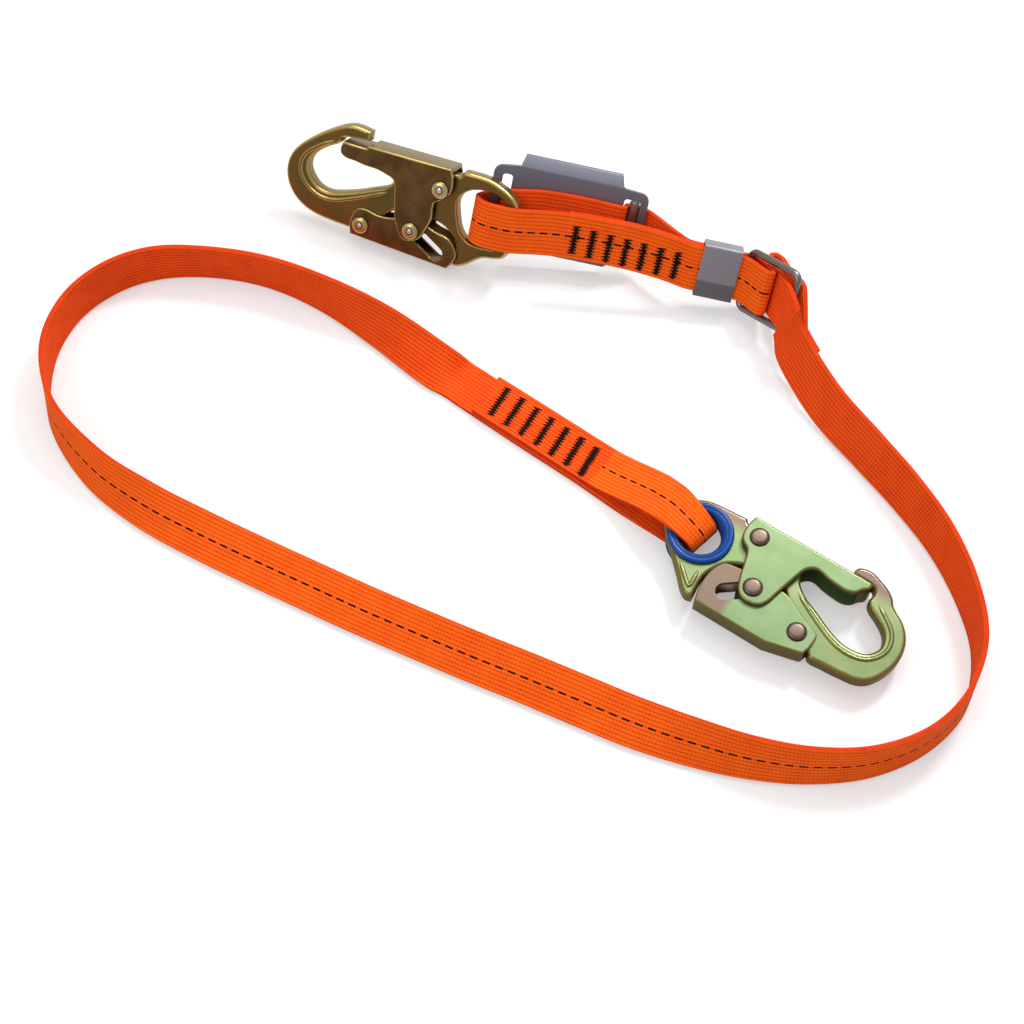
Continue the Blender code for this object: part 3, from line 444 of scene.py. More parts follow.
@dataclass(frozen=True)
class ToneAndShadeMetal:
    """Painted or bright steel whose tone changes along one direction of the piece; on some pieces
    that change is painted light and shade.
    """

    name: str
    low: str
    high: str
    axis: tuple[float, float, float]
    start: float                 # metres along the axis where the low tone ends
    end: float
    metallic: float = 0.3
    roughness: float = 0.42
    grit: float = 0.5            # mm, size of the finish's grain

    def build(self) -> bpy.types.Material:
        """Make the material.

        Returns:
            The material.
        """
        material, tree = blank_material(self.name)
        place = add_node(tree, "ShaderNodeTexCoord")
        height = add_node(tree, "ShaderNodeVectorMath", {"operation": "DOT_PRODUCT"},
                          in_0=place.outputs["Object"], in_1=self.axis)
        share = add_node(tree, "ShaderNodeMapRange", Value=height.outputs["Value"],
                         From_Min=self.start, From_Max=self.end)
        cloud = add_node(tree, "ShaderNodeTexNoise", Vector=place.outputs["Object"],
                         Scale=1 / (12 * MM), Detail=3.0)
        grain = add_node(tree, "ShaderNodeTexNoise", Vector=place.outputs["Object"],
                         Scale=1 / (self.grit * MM), Detail=2.0)
        tone = add_node(tree, "ShaderNodeMix", {"data_type": "RGBA"}, in_0=share.outputs[0],
                        in_6=linear(self.low), in_7=linear(self.high))
        shade = add_node(tree, "ShaderNodeMath", {"operation": "MULTIPLY_ADD"},
                         in_0=cloud.outputs[0], in_1=0.35, in_2=-0.05)
        colour = add_node(tree, "ShaderNodeMix", {"data_type": "RGBA", "blend_type": "MULTIPLY"},
                          in_0=shade.outputs[0], in_6=tone.outputs[2], in_7=(0.6, 0.6, 0.62, 1))
        rough = add_node(tree, "ShaderNodeMath", {"operation": "MULTIPLY_ADD"},
                         in_0=cloud.outputs[0], in_1=0.14, in_2=self.roughness - 0.07)
        surface(tree, colour.outputs[2], grain.outputs[0], Metallic=self.metallic,
                Roughness=rough.outputs[0])
        return material


@dataclass(frozen=True)
class MouldedNylon:
    """Injection-moulded nylon: even colour, satin gloss and a faint flow mark."""

    name: str
    colour: str
    other: str

    def build(self) -> bpy.types.Material:
        """Make the material.

        Returns:
            The material.
        """
        material, tree = blank_material(self.name)
        place = add_node(tree, "ShaderNodeTexCoord")
        flow = add_node(tree, "ShaderNodeTexNoise", Vector=place.outputs["Object"],
                        Scale=1 / (8 * MM), Detail=2.0)
        grain = add_node(tree, "ShaderNodeTexNoise", Vector=place.outputs["Object"],
                         Scale=1 / (0.4 * MM), Detail=2.0)
        colour = add_node(tree, "ShaderNodeMix", {"data_type": "RGBA"}, in_0=flow.outputs[0],
                          in_6=linear(self.colour), in_7=linear(self.other))
        surface(tree, colour.outputs[2], grain.outputs[0], 0.08, Roughness=0.3,
                Specular_IOR_Level=0.25)
        return material


@dataclass(frozen=True)
class SewingThread:
    """Bonded polyester thread: matt, with a fine twist that breaks up the light."""

    name: str
    colour: str

    def build(self) -> bpy.types.Material:
        """Make the material.

        Returns:
            The material.
        """
        material, tree = blank_material(self.name)
        place = add_node(tree, "ShaderNodeTexCoord")
        twist = add_node(tree, "ShaderNodeTexNoise", Vector=place.outputs["Object"],
                         Scale=1 / (0.5 * MM), Detail=1.0)
        colour = add_node(tree, "ShaderNodeMix", {"data_type": "RGBA"}, in_0=twist.outputs[0],
                          in_6=linear(self.colour), in_7=linear("#1c1412"))
        surface(tree, colour.outputs[2], Roughness=0.85, Specular_IOR_Level=0.12)
        return material


def deselect() -> None:
    """Deselect every object."""
    for item in bpy.context.selected_objects:
        item.select_set(False)


def activate(piece: bpy.types.Object) -> None:
    """Make a piece the only selected and the active object."""
    deselect()
    piece.select_set(True)
    bpy.context.view_layer.objects.active = piece


def apply_modifiers(piece: bpy.types.Object) -> None:
    """Apply a piece's modifiers in their order.

    Args:
        piece: the piece.
    """
    activate(piece)
    for name in [modifier.name for modifier in piece.modifiers]:
        bpy.ops.object.modifier_apply(modifier=name)


def new_piece(name: str, verts: list, faces: list) -> bpy.types.Object:
    """Make an object from points in millimetres in the measuring frame.

    Args:
        name: the object's name.
        verts: its points.
        faces: the numbers of each face's points.

    Returns:
        The object, with its origin at the model's origin.
    """
    mesh = bpy.data.meshes.new(name)
    placed = (np.array(verts, float) - np.array(FRAME_ORIGIN)) * MM
    mesh.from_pydata(placed.tolist(), [], faces)
    made = bpy.data.objects.new(name, mesh)
    bpy.context.scene.collection.objects.link(made)
    return made


def settle(piece: bpy.types.Object, body: str, material: bpy.types.Material | None,
           nodes: tuple[str, ...] = (), angle: float = 32.0) -> None:
    """Turn a piece's faces outwards, shade it, and say what carries it and what it replaces.

    Args:
        piece: the finished piece.
        body: the body that it rides on.
        material: its material, or None where it has its own already.
        nodes: the CAD nodes that it stands for.
        angle: edges sharper than this many degrees stay sharp.
    """
    activate(piece)
    bpy.ops.object.mode_set(mode="EDIT")
    bpy.ops.mesh.select_all(action="SELECT")
    bpy.ops.mesh.remove_doubles(threshold=1e-6)
    bpy.ops.mesh.normals_make_consistent(inside=False)
    bpy.ops.object.mode_set(mode="OBJECT")
    piece.data.shade_smooth()
    piece.data.set_sharp_from_angle(angle=math.radians(angle))
    if material is not None:
        piece.data.materials.clear()
        piece.data.materials.append(material)
    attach(piece, body)
    if nodes:
        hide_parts(*nodes)
    LOG.info("%s: %d faces on %s", piece.name, len(piece.data.polygons), body)
    deselect()


def heading(degrees: float, lift: float = 0.0) -> Vector:
    """Return the unit vector of a heading from +X and a lift above the floor.

    Args:
        degrees: the heading.
        lift: the angle above the floor, in degrees.

    Returns:
        The vector.
    """
    turn, up = math.radians(degrees), math.radians(lift)
    return Vector((math.cos(turn) * math.cos(up), math.sin(turn) * math.cos(up), math.sin(up)))


def frame_of(origin: tuple, x_axis: Vector, y_axis: Vector) -> Matrix:
    """Return the matrix of a frame from its origin and its first two axes.

    Args:
        origin: the frame's origin, in millimetres.
        x_axis: its first axis.
        y_axis: its second axis, as nearly as it can be at right angles to the first.

    Returns:
        The frame's matrix.
    """
    x_axis = x_axis.normalized()
    y_axis = (y_axis - x_axis * y_axis.dot(x_axis)).normalized()
    rotation = Matrix((x_axis, y_axis, x_axis.cross(y_axis))).transposed()
    return Matrix.Translation(Vector(origin)) @ rotation.to_4x4()


def hook_b_frame() -> Matrix:
    """Return hook B's frame: it lies flat on the floor."""
    along = heading(-29.2)
    return frame_of((123.84, -23.29, 10.4), along, Vector((-along.y, along.x, 0.0)))


def hook_a_frame() -> Matrix:
    """Return hook A's frame: it leans back on its lever's edge."""
    along = heading(156.3)
    level = Vector((along.y, -along.x, 0.0))
    lean = math.radians(53.1)
    return frame_of((-35.76, 176.94, 38.3), along,
                    level * math.cos(lean) + Vector((0, 0, math.sin(lean))))


def strap_frame(hook_a: Matrix) -> Matrix:
    """Return the strap assembly's frame, its origin in the middle of hook A's eye bar.

    Args:
        hook_a: hook A's frame.

    Returns:
        The frame's matrix.
    """
    along = heading(-10.04, -6.33)
    across = hook_a.to_3x3() @ Vector((0, 1, 0))
    across = (across - along * across.dot(along)).normalized()
    rotation = Matrix((along, across.cross(along), across)).transposed()
    return Matrix.Translation(hook_a @ Vector((*EYE_BAR, 0.0))) @ rotation.to_4x4()


def smooth(points: object, step: object) -> np.ndarray:
    """Sample a smooth curve through points of any dimension.

    Args:
        points: the curve's points, x, y and z first.
        step: the spacing of the samples in space, or one spacing for each stretch.

    Returns:
        The samples, one a row.
    """
    points = np.array(points, float)
    steps = np.broadcast_to(step, len(points) - 1)
    padded = np.vstack([2 * points[0] - points[1], points, 2 * points[-1] - points[-2]])
    out = []
    for k in range(1, len(padded) - 2):
        p0, p1, p2, p3 = padded[k - 1:k + 3]
        count = max(1, round(float(np.linalg.norm((p2 - p1)[:3])) / steps[k - 1]))
        for j in range(count):
            u = j / count
            out.append(0.5 * (2 * p1 + (p2 - p0) * u + (2 * p0 - 5 * p1 + 4 * p2 - p3) * u ** 2
                              + (3 * p1 - p0 - 3 * p2 + p3) * u ** 3))
    out.append(points[-1])
    return np.array(out)


def unit(vector: np.ndarray) -> np.ndarray:
    """Return a vector, or an array of them, at unit length."""
    return vector / np.linalg.norm(vector, axis=-1, keepdims=True)


def bend_steps(route: list) -> np.ndarray:
    """Return the spacing of each stretch of a route: short in bends, longer where straight."""
    gaps = np.linalg.norm(np.diff(np.array(route, float), axis=0), axis=1)
    return np.where(gaps > STRAIGHT, STRAIGHT, LOOP_STEP)


@dataclass
class Strap:
    """One stretch of webbing, woven from sections along its route."""

    name: str
    body: str
    node: str
    traced: Face
    middles: np.ndarray
    across: np.ndarray
    widths: np.ndarray
    traced_past: float = -1000.0         # x beyond which the tracer is woven in
    fine: int = FINE                     # rows of mesh for each section
    piece: bpy.types.Object | None = field(default=None, init=False)

    def section(self, width: float) -> list[tuple[float, float, float, int]]:
        """Draw one section of the strap.

        Args:
            width: the strap's width there.

        Returns:
            Each point's place across and through the strap, its UV across and its face.
        """
        half = WEB_THICKNESS / 2
        wide = width / 2
        xs = np.linspace(-wide + SELVEDGE, wide - SELVEDGE, COLUMNS + 1)
        low = [(float(x), -half, float(x), -1) for x in xs]
        high = [(float(x), half, float(x), 1) for x in xs[::-1]]
        right = [(wide - 0.12, -half * 0.55, wide, 0), (wide - 0.12, half * 0.55, wide, 0)]
        left = [(-wide + 0.12, half * 0.55, -wide, 0), (-wide + 0.12, -half * 0.55, -wide, 0)]
        return low + right + high + left

    def build(self, plain_painted_shade: bpy.types.Material, traced: bpy.types.Material) -> bpy.types.Object:
        """Make the strap's mesh with its weave map.

        Args:
            plain_painted_shade: the weave without a tracer, darker and redder than the traced weave
                as painted shade.
            traced: the weave with the tracer along its middle.

        Returns:
            The strap's object.
        """
        order = np.arange(len(self.middles))
        fine = np.linspace(0, len(order) - 1, (len(order) - 1) * self.fine + 1)
        middles = smooth_at(self.middles, fine)
        across = unit(smooth_at(self.across, fine))
        widths = np.interp(fine, order, self.widths)
        run = unit(np.gradient(middles, axis=0))
        normal = unit(np.cross(run, across))
        travelled = np.concatenate([[0], np.cumsum(np.linalg.norm(np.diff(middles, axis=0),
                                                                  axis=1))])
        verts, places = [], []
        for middle, side, up, width, far in zip(middles, across, normal, widths, travelled):
            for x, y, v, _ in self.section(width):
                spot = middle + side * x + up * y
                spot[2] = max(spot[2], FRAME_ORIGIN.z)    # the edge rests on the floor
                verts.append(spot)
                places.append((far, v))
        sides = [s[3] for s in self.section(WEB_WIDTH)]
        count = len(sides)
        faces = ends(0, len(middles), count) + walls(0, len(middles), count)
        slots = [0, 0]
        for middle in middles[:-1]:
            for k in range(count):
                both = sides[k] == sides[(k + 1) % count] == self.traced.value
                slots.append(1 if both and middle[0] > self.traced_past else 0)
        piece = new_piece(self.name, verts, faces)
        mesh = piece.data
        mesh.materials.append(plain_painted_shade)
        mesh.materials.append(traced)
        mesh.polygons.foreach_set("material_index", slots)
        layer = mesh.uv_layers.new(name="weave")
        corner = np.zeros(len(mesh.loops), int)
        mesh.loops.foreach_get("vertex_index", corner)
        layer.data.foreach_set("uv", np.array(places)[corner].astype(np.float32).ravel())
        settle(piece, self.body, None, (self.node,), 50.0)
        self.piece = piece
        return piece


def smooth_at(rows: np.ndarray, places: np.ndarray) -> np.ndarray:
    """Read rows of a smooth curve at fractional places.

    Args:
        rows: the curve's points.
        places: where to read it, counted in points.

    Returns:
        One row for each place.
    """
    count = len(rows)
    padded = np.vstack([2 * rows[0] - rows[1], rows, 2 * rows[-1] - rows[-2]])
    base = np.minimum(places.astype(int), count - 2)
    u = (places - base)[:, None]
    p0, p1, p2, p3 = (padded[base + k] for k in range(4))
    return 0.5 * (2 * p1 + (p2 - p0) * u + (2 * p0 - 5 * p1 + 4 * p2 - p3) * u ** 2
                  + (3 * p1 - p0 - 3 * p2 + p3) * u ** 3)


@dataclass
class WebbingSet:
    """The webbing of the lanyard: the long run, its two loops and the adjuster's strap."""

    strap: Matrix
    long_middles: np.ndarray | None = None
    long_across: np.ndarray | None = None

    def strap_points(self, route: list, steps: object) -> np.ndarray:
        """Return a route of the strap's frame, one measured point a row."""
        return np.array([self.strap @ Vector(p) for p in smooth(route, steps)])

    def width_line(self, count: int) -> np.ndarray:
        """Return the strap frame's width line, once for each section."""
        return np.tile(np.array(self.strap.to_3x3() @ Vector((0, 0, 1))), (count, 1))

    def lap(self) -> tuple[np.ndarray, np.ndarray, np.ndarray]:
        """Return the middles, width lines and widths round hook B's bushing."""
        path = smooth(LAP_ROUTE, bend_steps(LAP_ROUTE))
        middles, widths = path[:, :3], path[:, 3]
        flat = np.gradient(middles, axis=0)[:, :2]
        turn = math.radians(-38)
        flip = np.sign(flat @ np.array([math.cos(turn), math.sin(turn)]))
        rows = unit(flat * np.where(flip == 0, 1, flip)[:, None] + 1e-9)
        for _ in range(30):
            rows = np.vstack([rows[:1], (rows[:-2] + rows[1:-1] * 2 + rows[2:]) / 4, rows[-1:]])
        rows = unit(rows)
        across = np.stack([-rows[:, 1], rows[:, 0], np.zeros(len(rows))], 1)
        return middles, across, widths

    def long_run(self, lap: tuple) -> Strap:
        """Lay the long run from the ring round to hook B's loop.

        Args:
            lap: the middles, width lines and widths of hook B's loop.

        Returns:
            The long run, which is sampled finely from the start.
        """
        start = np.array(self.strap @ Vector(LONG_START))
        route = np.array(LONG_ROUTE, float)
        run = unit(np.gradient(route[:, :2], axis=0))
        lean = np.radians(route[:, 3])
        across = np.stack([np.sin(lean) * run[:, 1], -np.sin(lean) * run[:, 0], np.cos(lean)], 1)
        middles = route[:, :3] + across * WEB_WIDTH / 2
        lap_run = unit(lap[0][1] - lap[0][0])
        end = lap[0][0] - lap_run * END_GAP
        joined = np.hstack([
            np.vstack([start, middles, end - lap_run * LONG_STEP * 0.6, end]),
            np.vstack([unit(np.array(LONG_START_ACROSS)), across, lap[1][0], lap[1][0]])])
        path = smooth(joined, [LOOP_STEP] + [LONG_STEP] * (len(joined) - 2))
        self.long_middles, self.long_across = path[:, :3], unit(path[:, 3:])
        fine = smooth(joined, 2.6)
        return Strap("long_webbing", "webbing", "long_run", Face.BACK, fine[:, :3],
                     unit(fine[:, 3:]), np.full(len(fine), WEB_WIDTH), fine=1)

    def ring_loop(self) -> Strap:
        """Return the sewn loop round the ring's right bar."""
        middles, across = self.long_middles, self.long_across
        loop = self.strap_points(RING_LOOP_ROUTE, bend_steps(RING_LOOP_ROUTE))
        run = unit(np.gradient(middles, axis=0))
        normal = unit(np.cross(run, across))
        travelled = np.concatenate([[0], np.cumsum(np.linalg.norm(np.diff(middles, axis=0),
                                                                  axis=1))])
        places = np.linspace(LAP_FROM, LAP_TO, 7)

        def along(values: np.ndarray) -> np.ndarray:
            """Read the long run's values at the lap's places."""
            return np.stack([np.interp(places, travelled, values[:, k]) for k in range(3)], 1)

        lap = along(middles) - along(normal) * LAP_LIFT
        points = np.vstack([middles[0] + run[0] * 0.1, middles[0] - run[0], loop, lap])
        lines = np.vstack([across[0], across[0], self.width_line(len(loop)), along(across)])
        return Strap("ring_webbing", "webbing", "ring_loop", Face.FRONT, points, unit(lines),
                     np.full(len(points), WEB_WIDTH))

    def adjuster_strap(self) -> Strap:
        """Return the strap that joins hook A to the ring through the adjuster."""
        points = self.strap_points(STRAP_ROUTE, bend_steps(STRAP_ROUTE))
        return Strap("adjuster_webbing", "webbing", "adjuster_strap", Face.BACK, points,
                     self.width_line(len(points)), np.full(len(points), WEB_WIDTH))

    def build(self, plain_painted_shade: bpy.types.Material, traced: bpy.types.Material) -> None:
        """Args:
            plain_painted_shade: the weave without a tracer, darker and redder than the traced weave
                as painted shade.
            traced: the weave with the tracer along its middle.
        """
        lap = self.lap()
        long_run = self.long_run(lap)
        piece = long_run.build(plain_painted_shade, traced)
        self.ring_loop().build(plain_painted_shade, traced)
        lap[0][0] -= unit(lap[0][1] - lap[0][0]) * (END_GAP + 0.1)
        Strap("hook_b_webbing", "webbing", "hook_b_loop", Face.BACK, *lap,
              traced_past=TRACER_PAST).build(plain_painted_shade, traced)
        self.adjuster_strap().build(plain_painted_shade, traced)


def turned(outline: list, anticlockwise: bool) -> list:
    """Return the outline in the wanted turning sense."""
    area = sum(a[0] * b[1] - b[0] * a[1] for a, b in zip(outline, outline[1:] + outline[:1]))
    return list(outline) if (area > 0) == anticlockwise else list(outline)[::-1]


def inset(outline: list, width: float) -> list:
    """Move each point of an outline to the left of its path.

    Args:
        outline: a closed outline's points.
        width: how far they move.

    Returns:
        The moved outline.
    """
    moved = []
    count = len(outline)
    for k in range(count):
        here = Vector(outline[k])
        before = (here - Vector(outline[k - 1])).normalized()
        after = (Vector(outline[(k + 1) % count]) - here).normalized()
        normal = Vector((-before.y - after.y, before.x + after.x))
        if normal.length < 1e-6:
            normal = Vector((-before.y, before.x)) * 2
        normal.normalize()
        lean = max(0.5, normal.dot(Vector((-before.y, before.x))))
        moved.append(tuple(here + normal * (width / lean)))
    return moved


def eased(outline: list, parts: int = 3, corner: float = 48.0) -> list:
    """Draw a smooth line through an outline's points, but keep its sharp corners.

    Args:
        outline: the points of a closed outline.
        parts: how many pieces each side is cut into.
        corner: a turn sharper than this many degrees stays sharp.

    Returns:
        The finer outline.
    """
    count = len(outline)
    points = [Vector(p) for p in outline]
    tangents = []
    for k in range(count):
        before = (points[k] - points[k - 1]).normalized()
        after = (points[(k + 1) % count] - points[k]).normalized()
        sharp = math.degrees(before.angle(after, 0.0)) > corner
        middle = (before + after).normalized()
        tangents.append((before, after) if sharp else (middle, middle))
    out = []
    for k in range(count):
        a, b = points[k], points[(k + 1) % count]
        size = (b - a).length
        lean_a, lean_b = tangents[k][1] * size, tangents[(k + 1) % count][0] * size
        for j in range(parts):
            u = j / parts
            out.append(tuple(a * (2 * u ** 3 - 3 * u ** 2 + 1) + lean_a * (u ** 3 - 2 * u ** 2 + u)
                             + b * (3 * u ** 2 - 2 * u ** 3) + lean_b * (u ** 3 - u ** 2)))
    return out


def circle(centre: tuple, radius: float, sides: int = 48) -> list:
    """Return a circle's points."""
    return [(centre[0] + radius * math.cos(math.tau * k / sides),
             centre[1] + radius * math.sin(math.tau * k / sides)) for k in range(sides)]


def arc(centre: tuple, radius: float, start: float, end: float, steps: int) -> list:
    """Draw an arc.

    Args:
        centre: its centre.
        radius: its radius.
        start: the angle at which it starts, in degrees.
        end: the angle at which it ends.
        steps: how many sides it has.

    Returns:
        The arc's points.
    """
    turns = [math.radians(start + (end - start) * k / steps) for k in range(steps + 1)]
    return [(centre[0] + radius * math.cos(t), centre[1] + radius * math.sin(t)) for t in turns]


def stadium(start: tuple, end: tuple, radius: float) -> list:
    """Return the outline of a slot with round ends."""
    turn = math.degrees(math.atan2(end[1] - start[1], end[0] - start[0]))
    return (arc(end, radius, turn - 90, turn + 90, 14)
            + arc(start, radius, turn + 90, turn + 270, 14))


def plate(name: str, matrix: Matrix, outline: list, holes: list, low: float, high: float,
          radius: float, steps: int = 4, hole_roll: float | None = None) -> bpy.types.Object:
    """Make a plate from an outline with holes, its edges rolled to a radius.

    Args:
        name: the piece's name.
        matrix: the frame in which it is drawn.
        outline: its outer points.
        holes: the points of each hole.
        low: its lower height in the frame.
        high: its upper height.
        radius: the radius of the rolled edge; 0 leaves it square.
        steps: how many facets the roll has.
        hole_roll: how wide the roll is at the holes, or None for the radius.

    Returns:
        The plate's object.
    """
    loops = [turned(outline, True)] + [turned(hole, False) for hole in holes]
    rolls = [1.0] + [1.0 if hole_roll is None else hole_roll / radius] * len(holes)
    turns = [math.pi / 2 * k / steps for k in range(steps + 1)] if radius else [0.0]
    lower = [(low + radius * (1 - math.cos(t)), radius * (1 - math.sin(t))) for t in turns]
    if radius:
        lower.insert(0, (low, radius + FLAT_RIM))    # keeps the flat faces' shading flat
    upper = [(high + low - height, depth) for height, depth in reversed(lower)]
    levels = lower + upper
    verts = []
    for height, depth in levels:
        for loop, roll in zip(loops, rolls):
            verts += [matrix @ Vector((*p, height)) for p in inset(loop, depth * roll)]
    size = sum(len(loop) for loop in loops)
    faces = []
    start = 0
    for loop in loops:
        faces += walls(start, len(levels), len(loop), stride=size)
        start += len(loop)
    caps = tessellate_polygon([[Vector((*p, 0)) for p in inset(loop, levels[0][1] * roll)]
                               for loop, roll in zip(loops, rolls)])
    top = (len(levels) - 1) * size
    faces += [tuple(reversed(t)) for t in caps]
    faces += [tuple(top + v for v in t) for t in caps]
    piece = new_piece(name, verts, faces)
    activate(piece)
    bpy.ops.object.mode_set(mode="EDIT")
    bpy.ops.mesh.select_all(action="SELECT")
    bpy.ops.mesh.remove_doubles(threshold=1e-6)
    bpy.ops.mesh.normals_make_consistent(inside=False)
    bpy.ops.object.mode_set(mode="OBJECT")
    return piece


def combine(piece: bpy.types.Object, tool: bpy.types.Object, operation: str) -> None:
    """Cut a tool out of a piece, or join it on, and delete the tool.

    Args:
        piece: the piece that is changed.
        tool: the solid that is cut out or joined on.
        operation: DIFFERENCE or UNION.
    """
    change = piece.modifiers.new("combine", "BOOLEAN")
    change.operation = operation
    change.solver = "EXACT"
    change.object = tool
    apply_modifiers(piece)
    bpy.data.objects.remove(tool, do_unlink=True)


@dataclass
class SnapHook:
    """One snap hook: forged body, gate channel, lock lever and rivets."""

    side: str
    matrix: Matrix
    body: list
    window: list
    gate: list
    gate_rim: list
    lever: list
    lever_rim: list
    pin: tuple
    pivot: tuple
    slot: tuple
    ridges: list
    roll: float                          # radius of the forging's edges
    hole_roll: float                     # width of the roll at its holes
    pinned_rivets: bool

    def __post_init__(self) -> None:
        """Keep the finishes that both kinds of rivet share, among them the painted shadow round the
        rivets' seats.
        """
        self.painted_seat_shadow = ToneAndShadeMetal(f"seat_shadow_{self.side}", "#2a2018", "#3a2c1e",
                                        (0, 0, 1), 0.0, 0.04, 0.6, 0.5).build()
        self.pin_finish = ToneAndShadeMetal(f"bright_pin_{self.side}", "#d8d4d0", "#f0ece8",
                                       (0, 0, 1), 0.0, 0.04, 0.95, 0.25).build()

    def build(self, forged: bpy.types.Material, pressed: bpy.types.Material,
              lever_metal: bpy.types.Material, riveted: bpy.types.Material,
              metal_slot: str) -> None:
        """Make the hook's pieces.

        Args:
            forged: the forged body's finish.
            pressed: the gate's finish.
            lever_metal: the lock lever's finish.
            riveted: the rivets' finish.
            metal_slot: the record's slot of the plated steel; not used.
        """
        side = self.side
        hook, gate_body, lock = f"hook_{side}", f"gate_{side}", f"lock_{side}"
        hole, pivot_hole = RIVET_RADIUS + GAP, PIVOT_RADIUS + GAP
        body = plate(f"forged_body_{side}", self.matrix, eased(self.body),
                     [eased(self.window), circle((0, 0), hole), circle(self.pivot, pivot_hole)],
                     -BODY_HALF, BODY_HALF, self.roll, 6, self.hole_roll)
        settle(body, hook, forged, (f"hook_{side}_body",))
        for number, line in enumerate(self.ridges):
            self.ridge(f"forged_ridge_{side}_{number}", line, hook, forged)

        gate = plate(f"gate_channel_{side}", self.matrix, eased(self.gate),
                     [circle((0, 0), hole), circle(self.pin, hole)], -GATE_OUTER, GATE_OUTER,
                     1.1, 5, 0.25)
        combine(gate, plate("gate_inside", self.matrix, self.gate_rim, [], -GATE_INNER,
                            GATE_INNER, 0.0), "DIFFERENCE")
        settle(gate, gate_body, pressed, (f"gate_{side}",))

        slot_start, slot_end, slot_radius = self.slot
        lever = plate(f"lever_channel_{side}", self.matrix, eased(self.lever),
                      [circle(self.pivot, pivot_hole), stadium(slot_start, slot_end, slot_radius)],
                      -LEVER_OUTER, LEVER_OUTER, 0.8, 4, 0.35)
        combine(lever, plate("lever_inside", self.matrix, self.lever_rim, [], -LEVER_INNER,
                             LEVER_INNER, 0.0), "DIFFERENCE")
        settle(lever, lock, lever_metal, (f"lock_lever_{side}",))

        self.rivet(f"main_rivet_{side}", (0, 0), RIVET_RADIUS, GATE_OUTER, hook, riveted,
                   f"hook_{side}_main_rivet")
        self.rivet(f"lever_rivet_{side}", self.pivot, PIVOT_RADIUS, LEVER_OUTER, hook, riveted,
                   f"hook_{side}_lever_rivet")
        self.rivet(f"gate_rivet_{side}", self.pin, RIVET_RADIUS, GATE_OUTER, gate_body, riveted,
                   f"gate_{side}_pin")

    def ridge(self, name: str, line: list, body: str, material: bpy.types.Material) -> None:
        """Raise a forged ridge along a line on both faces of the body.

        Args:
            name: the piece's name.
            line: points of its middle, in the hook's frame.
            body: the body that carries it.
            material: the forging's finish.
        """
        verts, faces = [], []
        path = smooth([(x, y, 0.0) for x, y in line], 1.5)
        run = unit(np.gradient(path, axis=0))
        width = 1.25
        for face in (-1, 1):
            start = len(verts)
            turns = [math.pi * k / 8 for k in range(9)]
            for k, (middle, ahead) in enumerate(zip(path, run)):
                fade = min(1.0, 0.15 + min(k, len(path) - 1 - k) / 4)
                aside = np.array((-ahead[1], ahead[0], 0))
                for t in turns:
                    height = face * (BODY_HALF - 0.25 + math.sin(t) * 1.1 * fade)
                    spot = middle + aside * (width * math.cos(t) * fade)
                    verts.append(self.matrix @ Vector((spot[0], spot[1], height)))
            faces += walls(start, len(path), len(turns)) + ends(start, len(path), len(turns))
        settle(new_piece(name, verts, faces), body, material)

    def rivet(self, name: str, centre: tuple, shank: float, outer: float, body: str,
              material: bpy.types.Material, node: str) -> None:
        """Make a rivet: a shank, two domed heads and, on some, a pin in the middle.

        Args:
            name: the piece's name.
            centre: its place in the hook's frame.
            shank: the shank's radius.
            outer: the height of the face on which its heads sit.
            body: the body that carries it.
            material: its finish.
            node: the CAD node that it stands for.
        """
        deselect()
        turn = self.matrix.copy()
        turn.translation = (turn.translation - FRAME_ORIGIN) * MM
        seat_shadow = (outer + GAP) * MM
        parts = []
        bpy.ops.mesh.primitive_cylinder_add(vertices=32, radius=shank * MM, depth=2 * seat_shadow + 0.0004)
        parts.append(bpy.context.active_object)
        for face in (-1, 1):
            bpy.ops.mesh.primitive_cylinder_add(vertices=48, radius=HEAD_RADIUS * MM, depth=0.0005,
                                                location=(0, 0, face * (seat_shadow + 0.00025)))
            head = bpy.context.active_object
            bpy.ops.object.mode_set(mode="EDIT")
            bpy.ops.mesh.select_all(action="DESELECT")
            bpy.ops.object.mode_set(mode="OBJECT")
            for polygon in head.data.polygons:
                polygon.select = polygon.normal.z * face > 0.9
            bpy.ops.object.mode_set(mode="EDIT")
            steps = ((0.0004, 0.0004), (0.0007, 0.00028), (0.0009, 0.0001))
            for thickness, depth in steps:
                bpy.ops.mesh.inset(thickness=thickness, depth=depth)
            bpy.ops.object.mode_set(mode="OBJECT")
            parts.append(head)
        deselect()
        for part in parts:
            part.select_set(True)
        bpy.context.view_layer.objects.active = parts[0]
        bpy.ops.object.join()
        piece = parts[0]
        piece.name = name
        piece.data.transform(turn @ Matrix.Translation((centre[0] * MM, centre[1] * MM, 0)))
        settle(piece, body, material, (node,), 28.0)
        place = self.matrix @ Matrix.Translation((*centre, 0))
        # Under each head, a dark disc is a painted shadow round the rivet's seat.
        self.disc(f"{name}_seat", place, [(HEAD_RADIUS + 0.55, outer + 0.02),
                                          (HEAD_RADIUS + 0.5, outer + 0.24),
                                          (shank, outer + 0.24)], body, self.painted_seat_shadow)
        if self.pinned_rivets:
            top = outer + GAP + 1.28
            # Round the pin, a dark ring is painted shade.
            self.disc(f"{name}_ring", place, [(2.15, top - 0.25), (2.0, top + 0.04),
                                              (0.2, top + 0.04)], body, self.painted_seat_shadow)
            self.disc(f"{name}_pin", place, [(1.45, top - 0.1), (1.4, top + 0.12),
                                             (0.9, top + 0.24), (0.3, top + 0.28)], body,
                      self.pin_finish)

